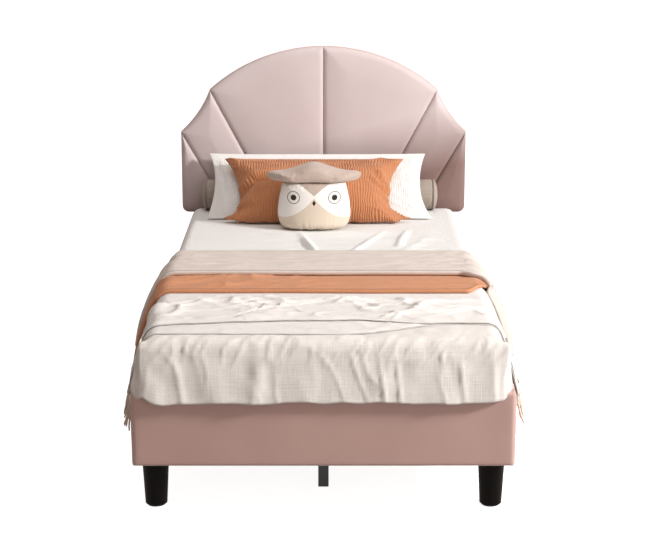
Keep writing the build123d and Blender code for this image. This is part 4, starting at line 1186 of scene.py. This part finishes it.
def pillow_shape(co, blank, look):
    """Draws the ends and long sides in between the corners, and gives the front and back their bulge."""
    size, waist = look["size"], look["waist"]
    share_x, share_y = 2 * blank[:, 0] / size[0], 2 * blank[:, 1] / size[1]
    from_waist = np.where(share_y > waist, (share_y - waist) / (1 - waist), (share_y - waist) / (1 + waist))
    low_ear = np.maximum(-share_y, 0)
    right_ear = look["ear_out"] * np.maximum(share_x, 0) ** 4 * low_ear ** 3
    end_drawn = look["end_drawn"] * np.abs(share_x) ** 3 * (1 - np.abs(from_waist) ** look["end_power"])
    co[:, 0] = blank[:, 0] + right_ear - np.sign(share_x) * end_drawn
    ear_lift = look["ear_rise"] * np.abs(share_x) ** 6 * low_ear ** 4
    side_drawn = look["side_drawn"] * np.abs(share_y) ** 3 * (1 - share_x ** 4)
    co[:, 1] = blank[:, 1] + ear_lift - np.sign(share_y) * side_drawn
    front_high, back_high = max(co[:, 2].max(), 1e-6), max(-co[:, 2].min(), 1e-6)
    belly = 1 - look["sag"] * co[:, 1] / (size[1] / 2)
    fat = np.where(co[:, 2] > 0, co[:, 2] / front_high, -co[:, 2] / back_high) ** 0.8
    co[:, 2] = np.where(co[:, 2] > 0, fat * look["front"], -fat * look["back"]) * belly
    # the front panel slumps over the bottom seam
    low_share = np.clip((0.4 - share_y) / 1.4, 0, 1)
    co[:, 1] = co[:, 1] - look["slump"] * low_share * np.maximum(co[:, 2], 0)
    return co


def pillow_relief(co, look):
    """Crinkle ribs, wrinkles that fan out from the corners and the drawn ends, and the drawn folds."""
    size, seed = look["size"], look["seed"]
    x, y = co[:, 0], co[:, 1]
    bent = sum(height * noise(y / long_y, x / long_x, seed + k)
               for k, (height, long_y, long_x) in enumerate(crinkle_waves))
    rib = look["rib_depth"] * np.sin((x + bent) * 2 * math.pi / look["rib_pitch"])
    uneven = 0.75 + 0.25 * noise(x / rib_patch_lengths[0], y / rib_patch_lengths[1], seed + 2)
    corner_x, corner_y = size[0] / 2 - np.abs(x), size[1] / 2 - np.abs(y)
    reach, turn = np.hypot(corner_x, corner_y), np.arctan2(corner_y, corner_x)
    quarter = (x > 0) * 17.0 + (y > 0) * 31.0
    fan = (1 - np.abs(noise(turn * 5 + quarter, reach / fan_length, seed + 3))) ** 3
    end = corner_x - look["end_drawn"]
    pull = (1 - np.abs(noise(y / pull_width + quarter, end / pull_length, seed + 4))) ** 3
    wrinkles = (0.55 * fan * smooth(reach / fan_run_in) * fading(reach, fan_fade)
                + 0.40 * pull * smooth(end / pull_run_in) * fading(np.maximum(end, 0), pull_fade))
    folds = sum(fold_relief(x, y, np.array(line) * size / 2, width, depth)
                for line, width, depth in look["folds"])
    rim = rise(np.abs(co[:, 2]), *rim_zone)
    return (rib * uneven + look["wrinkle"] * wrinkles + folds * (co[:, 2] > 0)) * (0.04 + 0.96 * rim)


def lean_pillow(co, look):
    """Stands the pillow up, leaning back. What slumps forward sinks onto the sheet, behind the owl."""
    lean = math.radians(look["lean"])
    up, out = np.array(((0, math.cos(lean), math.sin(lean)), (0, -math.sin(lean), math.cos(lean))))
    low = np.array((look["x"], mattress_head_y - look["foot"][0], top_z + look["foot"][1]))
    middle = low + up * look["size"][1] / 2
    placed = middle + co[:, :1] * (1, 0, 0) + co[:, 1:2] * up + co[:, 2:3] * out
    forward = np.maximum(low[1] - placed[:, 1], 0) * (co[:, 2] > slump_from)
    placed[:, 2] -= look["slump"] * 0.55 * forward
    placed[:, 2] = np.maximum(placed[:, 2], top_z + sheet_clearance)
    placed[:, 1] = np.maximum(placed[:, 1], owl_back(placed[:, 0], placed[:, 2]))
    return placed


def pillow(look):
    """Cushion with crinkled cloth: blown up flat, shaped like the CAD cushion and leant back."""
    obj = pillow_blank(look["name"] + "_crinkle", look["size"], look["material"])
    blank = points_of(obj)
    inflate(obj, pillow_pressure, pillow_frames)
    set_points(obj, pillow_shape(points_of(obj), blank, look))
    subdivide(obj, 3)
    co = points_of(obj) + normals_of(obj) * pillow_relief(points_of(obj), look)[:, None]
    set_points(obj, lean_pillow(co, look))
    finish_piece(obj, look["name"], look["name"], look["name"])


def pad_from_node(name, node, material, voxel, pressure, cap):
    """Copies a soft CAD solid, remeshes it a little smaller and blows it up as cloth, within a cap."""
    shrink, frames = 0.003, 16
    obj = bpy.data.objects.new(name, nodes_shown[node].data.copy())
    scene.collection.objects.link(obj)
    obj.data.materials.clear()
    obj.data.materials.append(material)
    remesh = obj.modifiers.new("remesh", "REMESH")
    remesh.mode = "VOXEL"
    remesh.voxel_size = voxel
    apply_modifiers(obj)
    set_points(obj, points_of(obj) - normals_of(obj) * shrink)
    before = points_of(obj)
    inflate(obj, pressure, frames)
    move = points_of(obj) - before
    length = np.linalg.norm(move, axis=1, keepdims=True)
    set_points(obj, before + move * np.minimum(1, cap / np.maximum(length, 1e-9)))
    return obj


owl_low, owl_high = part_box("owl_body")
owl_x, owl_y = (owl_low.x + owl_high.x) / 2, (owl_low.y + owl_high.y) / 2
# heights on the owl cushion, from its base: where the belly and the crown begin in the middle
belly_z, crown_z = 0.121, 0.128
eye_x, eye_z = 0.072, 0.122
pupil_radius, ring_radius, ring_half_width = 0.010, 0.021, 0.0011
beak_z, beak_half_width = 0.104, 0.0065
face_depth = 0.05
head_zone = (-0.012, 0.008)
spread_fade, base_fade = 0.030, 0.017
pucker_in = 0.0080
seam_z, seam_width, seam_depth = 0.012, 0.004, 0.002
cap_gap = 0.0002
cap_zone = (0.004, 0.008)
ear_height, ear_half_width = 0.040, 0.045


def owl_face_material():
    """Plush with plain printed areas: white cheeks, beige belly, grey crown and two round eyes."""
    material, tree, shader = new_material("owl_face_plush", linear(226, 215, 200), 0.95, Sheen_Weight=0.3,
                                          Sheen_Roughness=0.5, Specular_IOR_Level=0.15)
    place = place_source(tree, "object")
    calculate = functools.partial(math_node, tree)
    split = tree.nodes.new("ShaderNodeSeparateXYZ")
    tree.links.new(place, split.inputs["Vector"])
    beside = calculate("ABSOLUTE", calculate("SUBTRACT", split.outputs["X"], owl_x))
    height = calculate("SUBTRACT", split.outputs["Z"], owl_low.z)
    squared = calculate("MULTIPLY", beside, beside)
    belly_rise, crown_rise = (
        calculate("SUBTRACT", calculate("MULTIPLY", a, factor_a), calculate("MULTIPLY", b, factor_b))
        for a, factor_a, b, factor_b in ((squared, 5.0, beside, 1.2), (beside, 0.95, squared, 4.0)))
    belly = calculate("LESS_THAN", height, calculate("ADD", belly_z, belly_rise))
    crown = calculate("GREATER_THAN", height, calculate("ADD", crown_z, crown_rise))
    from_eye = [calculate("POWER", calculate("SUBTRACT", value, centre), 2.0)
                for value, centre in ((beside, eye_x), (height, eye_z))]
    away = calculate("SQRT", calculate("ADD", *from_eye))
    pupil = calculate("LESS_THAN", away, pupil_radius)
    from_ring = calculate("ABSOLUTE", calculate("SUBTRACT", away, ring_radius))
    ring = calculate("LESS_THAN", from_ring, ring_half_width)
    from_beak = calculate("MULTIPLY", calculate("ABSOLUTE", calculate("SUBTRACT", height, beak_z)), 0.6)
    beak = calculate("LESS_THAN", calculate("ADD", beside, from_beak), beak_half_width)
    front = calculate("LESS_THAN", split.outputs["Y"], owl_low.y + face_depth)
    marks = calculate("MULTIPLY", calculate("MAXIMUM", pupil, calculate("MAXIMUM", ring, beak)), front)
    colour = mix_colour(tree, belly, linear(246, 243, 239), linear(222, 208, 190))
    colour = mix_colour(tree, crown, colour, linear(193, 176, 165))
    colour = mix_colour(tree, marks, colour, linear(52, 44, 40))
    fine = stretched_noise(tree, place, (500, 500, 500), 3.0)
    shade = colour_ramp(tree, fine, [(0.3, grey(0.93)), (0.7, grey(1))])
    tree.links.new(darkened(tree, colour, shade), shader.inputs["Base Color"])
    bump(tree, shader, fine, 0.5, 0.0006)
    return material


def owl_body():
    body = pad_from_node("owl_body_plush", "owl_body", owl_face_material(), 0.005, 4.0, 0.006)
    co = points_of(body)
    # its top meets the cap without a groove, and its belly spreads forward on the sheet
    head_top = co[:, 2].max()
    co[:, 2] += (owl_high.z - head_top) * rise(co[:, 2] - head_top, *head_zone)
    spread = 0.42 * fading(np.maximum(co[:, 2] - owl_low.z, 0), spread_fade)
    co[:, 1] += np.where(co[:, 1] < owl_y, spread * (co[:, 1] - owl_y), 0)
    set_points(body, co)
    subdivide(body, 1)
    co, normal = points_of(body), normals_of(body)
    angle = np.arctan2(co[:, 1] - owl_y, co[:, 0] - owl_x)
    near_base = fading(np.maximum(co[:, 2] - owl_low.z, 0), base_fade)
    puckers = np.abs(np.sin(angle * 13 + 2.0 * noise(angle * 3, 0 * angle, 121)))
    puckers = puckers * (0.6 + 0.4 * noise(angle * 5, 0 * angle + 0.5, 122))
    near_seam = bell(co[:, 2] - owl_low.z - seam_z, seam_width)
    co = co - normal * (pucker_in * near_base * (1 - puckers) + seam_depth * near_seam)[:, None]
    co[:, 2] = np.clip(co[:, 2], owl_low.z + cap_gap, owl_high.z - cap_gap)
    set_points(body, co)
    finish_piece(body, "owl_cushion", "owl_face", "owl_body")


def owl_cap():
    cap = pad_from_node("owl_cap_plush", "owl_cap", cap_plush, 0.004, 3.0, 0.004)
    co = points_of(cap)
    cap_low = co[:, 2].min()
    ear_top = owl_high.z + ear_height
    co[:, 2] -= (cap_low - owl_high.z) * (1 - rise(co[:, 2] - cap_low, *cap_zone))
    slimmer = 0.5 + 0.4 * bell(co[:, 0] - owl_x, ear_half_width)
    co[:, 2] = np.where(co[:, 2] > ear_top, ear_top + (co[:, 2] - ear_top) * slimmer, co[:, 2])
    set_points(cap, co)
    subdivide(cap, 1)
    co = points_of(cap)
    co[:, 2] = np.maximum(co[:, 2], owl_high.z)
    set_points(cap, co)
    finish_piece(cap, "owl_cushion", "owl_cap", "owl_cap")


def turned_surface(name, profile, turns, place, material, relief):
    """A closed surface of revolution about the X axis from (x, radius) pairs."""
    angles = np.linspace(0, 2 * math.pi, turns, endpoint=False)
    x, r = (np.array(column)[:, None] + 0 * angles[None] for column in zip(*profile))
    smallest_radius = 0.004
    r = r + relief(x, angles[None] + 0 * x) * (r > smallest_radius)
    points = np.stack([x, r * np.cos(angles), r * np.sin(angles)], -1).reshape(-1, 3)
    return add_object(name, points + np.array(place), tube_faces(len(profile), turns), material)


bolster_low, bolster_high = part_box("bolster")
piping_low, piping_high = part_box("bolster_piping")
bolster_middle = np.array([(a + b) / 2 for a, b in zip(bolster_low, bolster_high)])
bolster_radius = (bolster_high.z - bolster_low.z) / 2
cord_radius = 0.0032
piping_radius = (piping_high.z - piping_low.z) / 2 - cord_radius
bolster_shoulder = (piping_high.x - piping_low.x) / 2 - cord_radius
end_groove_depth, end_groove_width = 0.003, 0.006
end_inset, cover_inset = 0.0006, 0.0012
gather_line_depth, gather_fade = 0.0007, 0.05
bolster_fold_depth, bolster_fold_length = 0.0018, 0.09


def bolster():
    """Round bolster with domed ends."""
    dome = (bolster_high.x - bolster_low.x) / 2 - bolster_shoulder
    end = [(bolster_shoulder + dome * math.sin(t), (bolster_radius - end_inset) * math.cos(t))
           for t in np.linspace(0.12, 1.53, 16)]
    body = [(x, bolster_radius - end_groove_depth * bell(bolster_shoulder - abs(x), end_groove_width))
            for x in np.linspace(-bolster_shoulder, bolster_shoulder, 150)]
    profile = [(-x, r) for x, r in end[::-1]] + body + end

    def relief(x, angle):
        gather = fading(bolster_shoulder - np.minimum(np.abs(x), bolster_shoulder), gather_fade)
        lines = np.sin(angle * 22 + 2 * noise(angle * 4, x * 0, 131))
        folds = bolster_fold_depth * noise(angle * 1.6, x / bolster_fold_length, 133)
        return gather_line_depth * gather * lines + folds * (np.abs(x) < bolster_shoulder) - cover_inset

    obj = turned_surface("bolster_cushion", profile, 96, bolster_middle, bolster_cotton, relief)
    finish_piece(obj, "bolster", "bolster", "bolster")


def bolster_piping():
    """A twisted cord round each of the bolster's ends."""
    around, section = 120, 10
    a, b = np.meshgrid(np.linspace(0, 2 * math.pi, around, endpoint=False),
                       np.linspace(0, 2 * math.pi, section, endpoint=False), indexing="ij")
    twist = 1 + 0.05 * np.sin(2 * b + 40 * a)
    r = piping_radius + cord_radius * twist * np.cos(b)
    ring = np.stack([cord_radius * twist * np.sin(b), r * np.cos(a), r * np.sin(a)], -1).reshape(-1, 3)
    points = [ring + bolster_middle + (side * bolster_shoulder, 0, 0) for side in (-1, 1)]
    faces = [face for k in range(2) for face in tube_faces(around, section, k * len(ring), closed=True)]
    rings = add_object("bolster_piping_cord", np.concatenate(points), faces, piping_cord)
    finish_piece(rings, "bolster", "piping", "bolster_piping")


# Upholstery of the frame

head_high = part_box("headboard_board")[1]
pad_low, pad_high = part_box("headboard_pad_centre_right")
headboard_half = wing_high.x
headboard_bottom = pad_low.z
headboard_top = pad_high.z
headboard_side_z = wing_high.z
arc_radius = 0.640
shoulder_x = headboard_half - 0.110
shoulder_z = headboard_top - arc_radius + math.sqrt(arc_radius ** 2 - shoulder_x ** 2)
hollow_depth = 0.012
lower_corner = 0.024
pad_front_y, pad_back_y = pad_low.y, pad_high.y
# width and depth of the rolled edges at the seams and at the headboard's edge
seam_roll, edge_roll = (0.017, 0.010), (0.022, 0.014)
swell_width, swell_depth = 0.115, 0.010
pad_crown = 0.0012
pad_gap = 0.0004
pull_depth, pull_reach, pull_noise_length = 0.0005, 0.018, 0.014
soft_depth, soft_length, soft_run_in = 0.0005, 0.09, 0.05
panels_a_side = 3
panel_rows, panel_columns = 72, 46


def shoulder_curve(share):
    """A point on the hollow curve from the shoulder down to the side."""
    run = math.hypot(headboard_half - shoulder_x, shoulder_z - headboard_side_z)
    inward = ((headboard_side_z - shoulder_z) / run, (shoulder_x - headboard_half) / run)
    dip = 4 * hollow_depth * share * (1 - share)
    return (shoulder_x + (headboard_half - shoulder_x) * share + dip * inward[0],
            shoulder_z + (headboard_side_z - shoulder_z) * share + dip * inward[1])


def arc_point(angle):
    """A point on the headboard's top arc, at an angle from its middle."""
    return arc_radius * math.sin(angle), headboard_top - arc_radius + arc_radius * math.cos(angle)


def pad_edges(index, share):
    """Lower and upper point of a panel at a share of the way from its inner seam to its outer one."""
    lower = (headboard_half / panels_a_side * (index + share), headboard_bottom)
    if index == 0:
        return lower, arc_point(math.asin(shoulder_x / arc_radius) * share)
    if index == 1:
        return lower, shoulder_curve(share)
    return lower, (headboard_half, headboard_side_z)


def eased(count):
    return (1 - np.cos(np.linspace(0, math.pi, count))) / 2


def round_lower_corner(p):
    cx, cz = headboard_half - lower_corner, headboard_bottom + lower_corner
    dx, dz = p[..., 0] - cx, p[..., 1] - cz
    distance = np.hypot(dx, dz)
    outside = (dx > 0) & (dz < 0) & (distance > lower_corner)
    scale = np.where(outside, lower_corner / np.maximum(distance, 1e-9), 1)
    return np.stack([cx + dx * scale, cz + dz * scale], -1)


def distance_to(points, lines):
    """How far each point is from the nearest of some polylines."""
    nearest = np.full(len(points), np.inf)
    for line in lines:
        for t in np.linspace(0, 1, 6, endpoint=False):
            dense = line[:-1] + (line[1:] - line[:-1]) * t
            away = np.linalg.norm(points[:, None] - dense[None], axis=2)
            nearest = np.minimum(nearest, away.min(axis=1))
    return nearest


def rolled(distance, width, depth):
    """Depth of a rolled edge at a distance from it."""
    t = np.clip(distance / width, 0, 1)
    return depth * (1 - np.sqrt(np.maximum(1 - (1 - t) ** 2, 0)))


def panel_places(index):
    """Points of one panel in the headboard's plane, row by row upward."""
    places = np.zeros((panel_rows, panel_columns, 2))
    for j, share in enumerate(eased(panel_columns)):
        lower, upper = pad_edges(index, share)
        for i, up in enumerate(eased(panel_rows)):
            places[i, j] = [a + (b - a) * up for a, b in zip(lower, upper)]
    return round_lower_corner(places)


def panel_front(places, index):
    """The panel's padded face: crowned, rolled over at the seams, with small pulls along them."""
    flat = places.reshape(-1, 2)
    seams, outer = [places[:, 0], places[:, -1]], [places[0], places[-1]]
    if index + 1 == panels_a_side:
        seams, outer = [places[:, 0]], [places[0], places[:, -1]]
    seam_distance, outer_distance = distance_to(flat, seams), distance_to(flat, outer)
    distance = np.minimum(seam_distance, outer_distance)
    depth = np.maximum(rolled(seam_distance, *seam_roll), rolled(outer_distance, *edge_roll))
    depth = depth + swell_depth * (1 - np.clip(distance / swell_width, 0, 1)) ** 2
    pulls = pull_depth * fading(distance, pull_reach) * noise(*flat.T / pull_noise_length, 141 + index)
    soft = soft_depth * noise(*flat.T / soft_length, 143 + index) * np.clip(distance / soft_run_in, 0, 1)
    inward = flat.mean(0) - flat
    inward /= np.maximum(np.linalg.norm(inward, axis=1, keepdims=True), 1e-9)
    inset = flat + inward * pad_gap * (distance[:, None] < pad_gap)
    return np.stack([inset[:, 0], pad_front_y + depth - pad_crown + pulls + soft, inset[:, 1]], -1)


def headboard_pad(side, index, name):
    """One padded panel of the fan as a closed piece."""
    front = panel_front(panel_places(index), index)
    rim = rim_of(panel_rows, panel_columns)
    back = front[rim].copy()
    back[:, 1] = pad_back_y
    back_rim = len(front) + np.arange(len(rim))
    walls = band(back_rim, rim) + [tuple(back_rim.tolist())]
    if side < 0:
        walls = [face[::-1] for face in walls]
    faces = grid_faces(panel_rows, panel_columns, flip=side < 0) + walls
    points = np.concatenate([front, back]) * (side, 1, 1)
    obj = add_object(name.replace("headboard_pad", "velvet_panel"), points, faces, headboard_pink_painted_light)
    weld(obj, weld_distance)
    finish_piece(obj, "frame", "velvet", name)


outline_points = 24


def arc_shares(count):
    """Shares of a radius, along and off the start's direction, round a quarter turn without its start."""
    return [(math.sin(a), 1 - math.cos(a)) for a in np.linspace(0, math.pi / 2, count)[1:]]


def headboard_outline(inset):
    """Points round the headboard from its lower middle, counted anticlockwise, moved inward."""
    shares = np.linspace(0, 1, outline_points)
    half = [(t * (headboard_half - lower_corner), headboard_bottom) for t in shares]
    half += [(headboard_half - lower_corner + lower_corner * s, headboard_bottom + lower_corner * c)
             for s, c in arc_shares(10)]
    side_foot = headboard_bottom + lower_corner
    half += [(headboard_half, side_foot + t * (headboard_side_z - side_foot)) for t in shares[1:]]
    half += [shoulder_curve(1 - t) for t in shares[1:]]
    top_angle = math.asin(shoulder_x / arc_radius)
    half += [arc_point(top_angle * t) for t in np.linspace(1, 0, 2 * outline_points)[1:]]
    points = np.array(half + [(-x, z) for x, z in half[-2:0:-1]])
    ahead = np.roll(points, -1, 0) - np.roll(points, 1, 0)
    inward = np.stack([-ahead[:, 1], ahead[:, 0]], -1)
    inward /= np.linalg.norm(inward, axis=1, keepdims=True)
    return points + inward * inset


def upright(outline, y):
    """Points of an outline in the headboard's plane, at a place along Y."""
    return np.stack([outline[:, 0], y + 0 * outline[:, 0], outline[:, 1]], -1)


def headboard_border():
    """Padded strip round the headboard's edge, a little proud between its two seams."""
    proud, thickness = 0.0015, 0.004
    back_y = head_high.y
    depth = back_y - pad_back_y
    rings = [upright(headboard_outline(-proud * math.sin(math.pi * t)), pad_back_y + depth * t)
             for t in np.linspace(0, 1, 9)]
    rings += [upright(headboard_outline(thickness), y) for y in (back_y, pad_back_y)]
    faces = tube_faces(len(rings), len(rings[0]), closed=True, flip=True)
    obj = add_object("headboard_edge_strip", np.concatenate(rings), faces, pink)
    finish_piece(obj, "frame", "velvet", "headboard_border")


lining_inset = 0.008
lining_shares = (1.0, 0.985, 0.97, 0.955, 0.94, 0.8, 0.6, 0.4, 0.2)
lining_hem_share, lining_hem_width_share = 0.985, 0.012
lining_relief = 0.0003
lining_wrinkle_lengths = (0.05, 0.2)
lining_front_gap, lining_back_gap = 0.0001, 0.0002


def headboard_back():
    """Non-woven cloth stretched over the back, folded under round its rim."""
    low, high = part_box("headboard_back_cover")
    outline = headboard_outline(lining_inset)
    x, z = outline[:, 0], outline[:, 1]
    centre = np.array([0.0, (z.min() + z.max()) / 2])
    rings = [upright(outline, low.y + lining_front_gap)]
    for share in lining_shares:
        place = centre + (outline - centre) * share
        hem = lining_relief * bell(share - lining_hem_share, lining_hem_width_share)
        wrinkle = lining_relief * noise(*(place / lining_wrinkle_lengths).T, 151) * (share < 0.95)
        rings.append(upright(place, high.y - lining_back_gap + hem + wrinkle))
    faces = tube_faces(len(rings), len(outline), flip=True)
    obj = add_object("headboard_back_cloth", np.concatenate(rings), faces, back_felt)
    finish_piece(obj, "frame", "back_cover", "headboard_back_cover")


cover_depth = 0.028
rail_depth = 0.025
return_height = 0.038
rail_edge = 0.010
rail_soft = 0.003
rail_belly = 0.0022
rail_corner = 0.014
rail_return_depths = (0.025, 0.019)
pad_wave_depth = 0.0007
pad_wave_lengths = (0.11, 0.09)
padded_from = 0.005


def rail_profile(bottom, top):
    """Depth and height round a rail's cover, from its inner return over the top and down the face."""
    start, face = top - return_height, top - rail_edge
    inner = cover_depth - rail_soft
    profile = [(cover_depth, start + (return_height - rail_soft) * t) for t in np.linspace(0, 1, 5)]
    profile += [(cover_depth - rail_soft * s, top - rail_soft + rail_soft * c) for s, c in arc_shares(4)]
    profile += [(inner + (rail_edge - inner) * t, top) for t in np.linspace(0, 1, 4)[1:]]
    profile += [(rail_edge - rail_edge * s, top - rail_edge * c) for s, c in arc_shares(7)]
    profile += [(-rail_belly * math.sin(math.pi * t) ** 0.7, face + (bottom + rail_edge - face) * t)
                for t in np.linspace(0, 1, 26)[1:]]
    profile += [(rail_edge * c, bottom + rail_edge - rail_edge * s) for s, c in arc_shares(7)]
    return profile + [(rail_edge + (rail_depth - rail_edge) * t, bottom) for t in np.linspace(0, 1, 4)[1:]]


def rail_cover(part, path, limits, seed):
    """Padded cover swept along a path in plan. limits says how a depth moves a path point inward."""
    low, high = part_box(part.format("cover"))
    board_low, board_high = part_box(part.format("board"))
    profile = rail_profile(low.z, high.z)
    outer = np.array([(*limits(x, y, depth), z) for x, y in path for depth, z in profile])
    along, up = pad_wave_lengths
    waves = pad_wave_depth * noise((outer[:, 0] + outer[:, 1]) / along, outer[:, 2] / up, seed)
    toward = np.clip(outer, board_low, board_high) - outer
    thick = np.linalg.norm(toward, axis=1, keepdims=True)
    outer = outer + toward / np.maximum(thick, 1e-9) * waves[:, None] * (thick > padded_from)
    inner = np.clip(outer, board_low, board_high)
    rows, columns = len(path), len(profile)
    rim = rim_of(rows, columns)
    faces = grid_faces(rows, columns) + grid_faces(rows, columns, len(outer), flip=True)
    faces += band(rim, rim + len(outer))
    obj = add_object(part.format("velvet"), np.concatenate([outer, inner]), faces, pink)
    weld(obj, 2.5 * weld_distance)
    finish_piece(obj, "frame", "velvet", part.format("cover"))


def end_rail_cover(end, inward, half):
    """Cover of the foot or head rail, which turns round the two corners."""
    low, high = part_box(f"{end}_rail_cover")
    face_y = low.y if inward > 0 else high.y
    corner = [(half - rail_corner, 0.0)] + [(half - rail_corner + rail_corner * s, rail_corner * c)
                                            for s, c in arc_shares(7)]
    path = [(-half, depth) for depth in rail_return_depths] + [(-x, y) for x, y in corner[::-1]]
    path += [(x, 0.0) for x in np.linspace(-half + rail_corner, half - rail_corner, 90)[1:-1]]
    path += corner + [(half, depth) for depth in rail_return_depths[::-1]]

    def limits(x, y, depth):
        bound, far = half - depth, face_y + inward * depth
        return min(max(x, -bound), bound), (max(y, far) if inward > 0 else min(y, far))

    rail_cover(end + "_rail_{}", [(x * inward, face_y + inward * y) for x, y in path], limits, 161)


def side_rail_cover(side, sign, half):
    low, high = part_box(f"side_rail_cover_{side}")
    ys = np.linspace(low.y, high.y, 160)[::sign]
    rail_cover("side_rail_{}_" + side, [(sign * half, y) for y in ys],
               lambda x, y, depth: (sign * (half - depth), y), 165)


def rail_covers():
    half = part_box("foot_rail_cover")[1].x
    end_rail_cover("foot", 1, half)
    end_rail_cover("head", -1, half)
    side_rail_cover("left", -1, half)
    side_rail_cover("right", 1, half)


# Materials of the CAD parts that show as they are

def dress_frame():
    plywood_side = wood("plywood_side", linear(196, 168, 132), (60, 5, 220))
    by_slot = {
        "board": wood("plywood", linear(196, 168, 132), (5, 60, 220)),
        "post_wood": wood("planed_softwood", linear(206, 176, 132), (70, 70, 5)),
        "slat_wood": wood("slat_birch", linear(214, 188, 148), (5, 110, 110), 0.5),
        "block_wood": wood("block_wood", linear(200, 170, 126), (12, 60, 60)),
        "leg_black": lacquer("black_lacquer", linear(9, 6, 4)),
        "zinc": metal("zinc_plate", linear(188, 190, 192), 1.0, 0.32, 120, 0.0001),
        "black_steel": metal("black_powder_coat", linear(30, 30, 31), 0.0, 0.5, 900, 0.0002),
        "plug": metal("black_plastic", linear(26, 26, 27), 0.0, 0.45, 600, 0.0001),
        "glide": metal("grey_plastic", linear(120, 120, 120), 0.0, 0.5, 600, 0.0001),
    }
    for part in frame["record"]["subparts"]:
        material = by_slot.get(part["material_slot"])
        if material is None:
            continue
        if part["node"].startswith("side_rail_board"):
            material = plywood_side
        for slot in nodes_shown[part["node"]].material_slots:
            slot.material = material


# Floor, lights and camera

# each lamp's name, place, target, size, power and colour
lamps = (
    ("key", (4.9, -2.1, 2.9), (0.0, 0.4, 0.6), 0.8, 405, (1.0, 0.985, 0.965)),
    ("fill", (1.6, -4.8, 1.9), (0.0, 0.0, 0.5), 2.2, 22, (1.0, 0.96, 0.93)),
    ("overhead", (-0.4, -0.3, 3.8), (-0.1, 0.0, 0.4), 2.6, 50, (0.97, 0.985, 1.0)),
)
glow_unseen = (0.225, 0.158, 0.12)
floor_half = 30.0


def area_light(name, place, target, size, power, colour):
    light = bpy.data.lights.new(name, "AREA")
    light.shape = "RECTANGLE"
    light.size = light.size_y = size
    light.energy = power
    light.color = colour
    obj = bpy.data.objects.new(name, light)
    scene.collection.objects.link(obj)
    obj.location = place
    obj.rotation_euler = (Vector(target) - Vector(place)).to_track_quat("-Z", "Y").to_euler()


def seen_ray(tree):
    path = tree.nodes.new("ShaderNodeLightPath")
    either = math_node(tree, "MAXIMUM", path.outputs["Is Camera Ray"], path.outputs["Is Glossy Ray"])
    return math_node(tree, "MAXIMUM", either, path.outputs["Is Transmission Ray"])


def studio_world():
    """White where the camera sees it, and a dim warm glow on the bed."""
    world = bpy.data.worlds.new("studio")
    scene.world = world
    world.use_nodes = True
    tree = world.node_tree
    glow = mix_colour(tree, seen_ray(tree), glow_unseen, grey(1.0))
    tree.links.new(glow, tree.nodes["Background"].inputs["Color"])


def studio_floor():
    mesh = bpy.data.meshes.new("floor")
    corners = [(x * floor_half, y * floor_half, 0) for x, y in ((-1, -1), (1, -1), (1, 1), (-1, 1))]
    mesh.from_pydata(corners, [], [(0, 1, 2, 3)])
    floor = bpy.data.objects.new("floor", mesh)
    scene.collection.objects.link(floor)
    material, tree, shader = new_material("pale_floor", grey(0.85), 0.9)
    seen = seen_ray(tree)
    tree.links.new(mix_colour(tree, seen, grey(0.35), grey(0.85)), shader.inputs["Base Color"])
    shader.inputs["Emission Color"].default_value = (1, 1, 1, 1)
    tree.links.new(mix_colour(tree, seen, grey(0.0), grey(0.9)), shader.inputs["Emission Strength"])
    mesh.materials.append(material)


def studio_camera():
    camera = bpy.data.cameras.new("camera")
    camera.sensor_width = 36.0
    camera.lens = camera_lens_mm
    camera.shift_x = camera_shift_x
    camera.clip_end = 100.0
    obj = bpy.data.objects.new("camera", camera)
    scene.collection.objects.link(obj)
    obj.location = camera_place
    obj.rotation_euler = (math.pi / 2 - camera_pitch, 0, 0)
    scene.camera = obj
    scene.view_settings.view_transform = "Standard"


studio_world()
studio_floor()
for lamp in lamps:
    area_light(*lamp)
studio_camera()
dress_frame()
for side_name, side_sign in (("left", -1), ("right", 1)):
    for pad_index, pad_name in enumerate(("centre", "middle", "wing")):
        headboard_pad(side_sign, pad_index, f"headboard_pad_{pad_name}_{side_name}")
headboard_border()
headboard_back()
rail_covers()
mattress()
fitted_sheet()
coverlet()
throw()
rust_blanket()
taupe_blanket()
bolster()
bolster_piping()
for pillow_look in pillow_looks:
    pillow(pillow_look)
owl_body()
owl_cap()
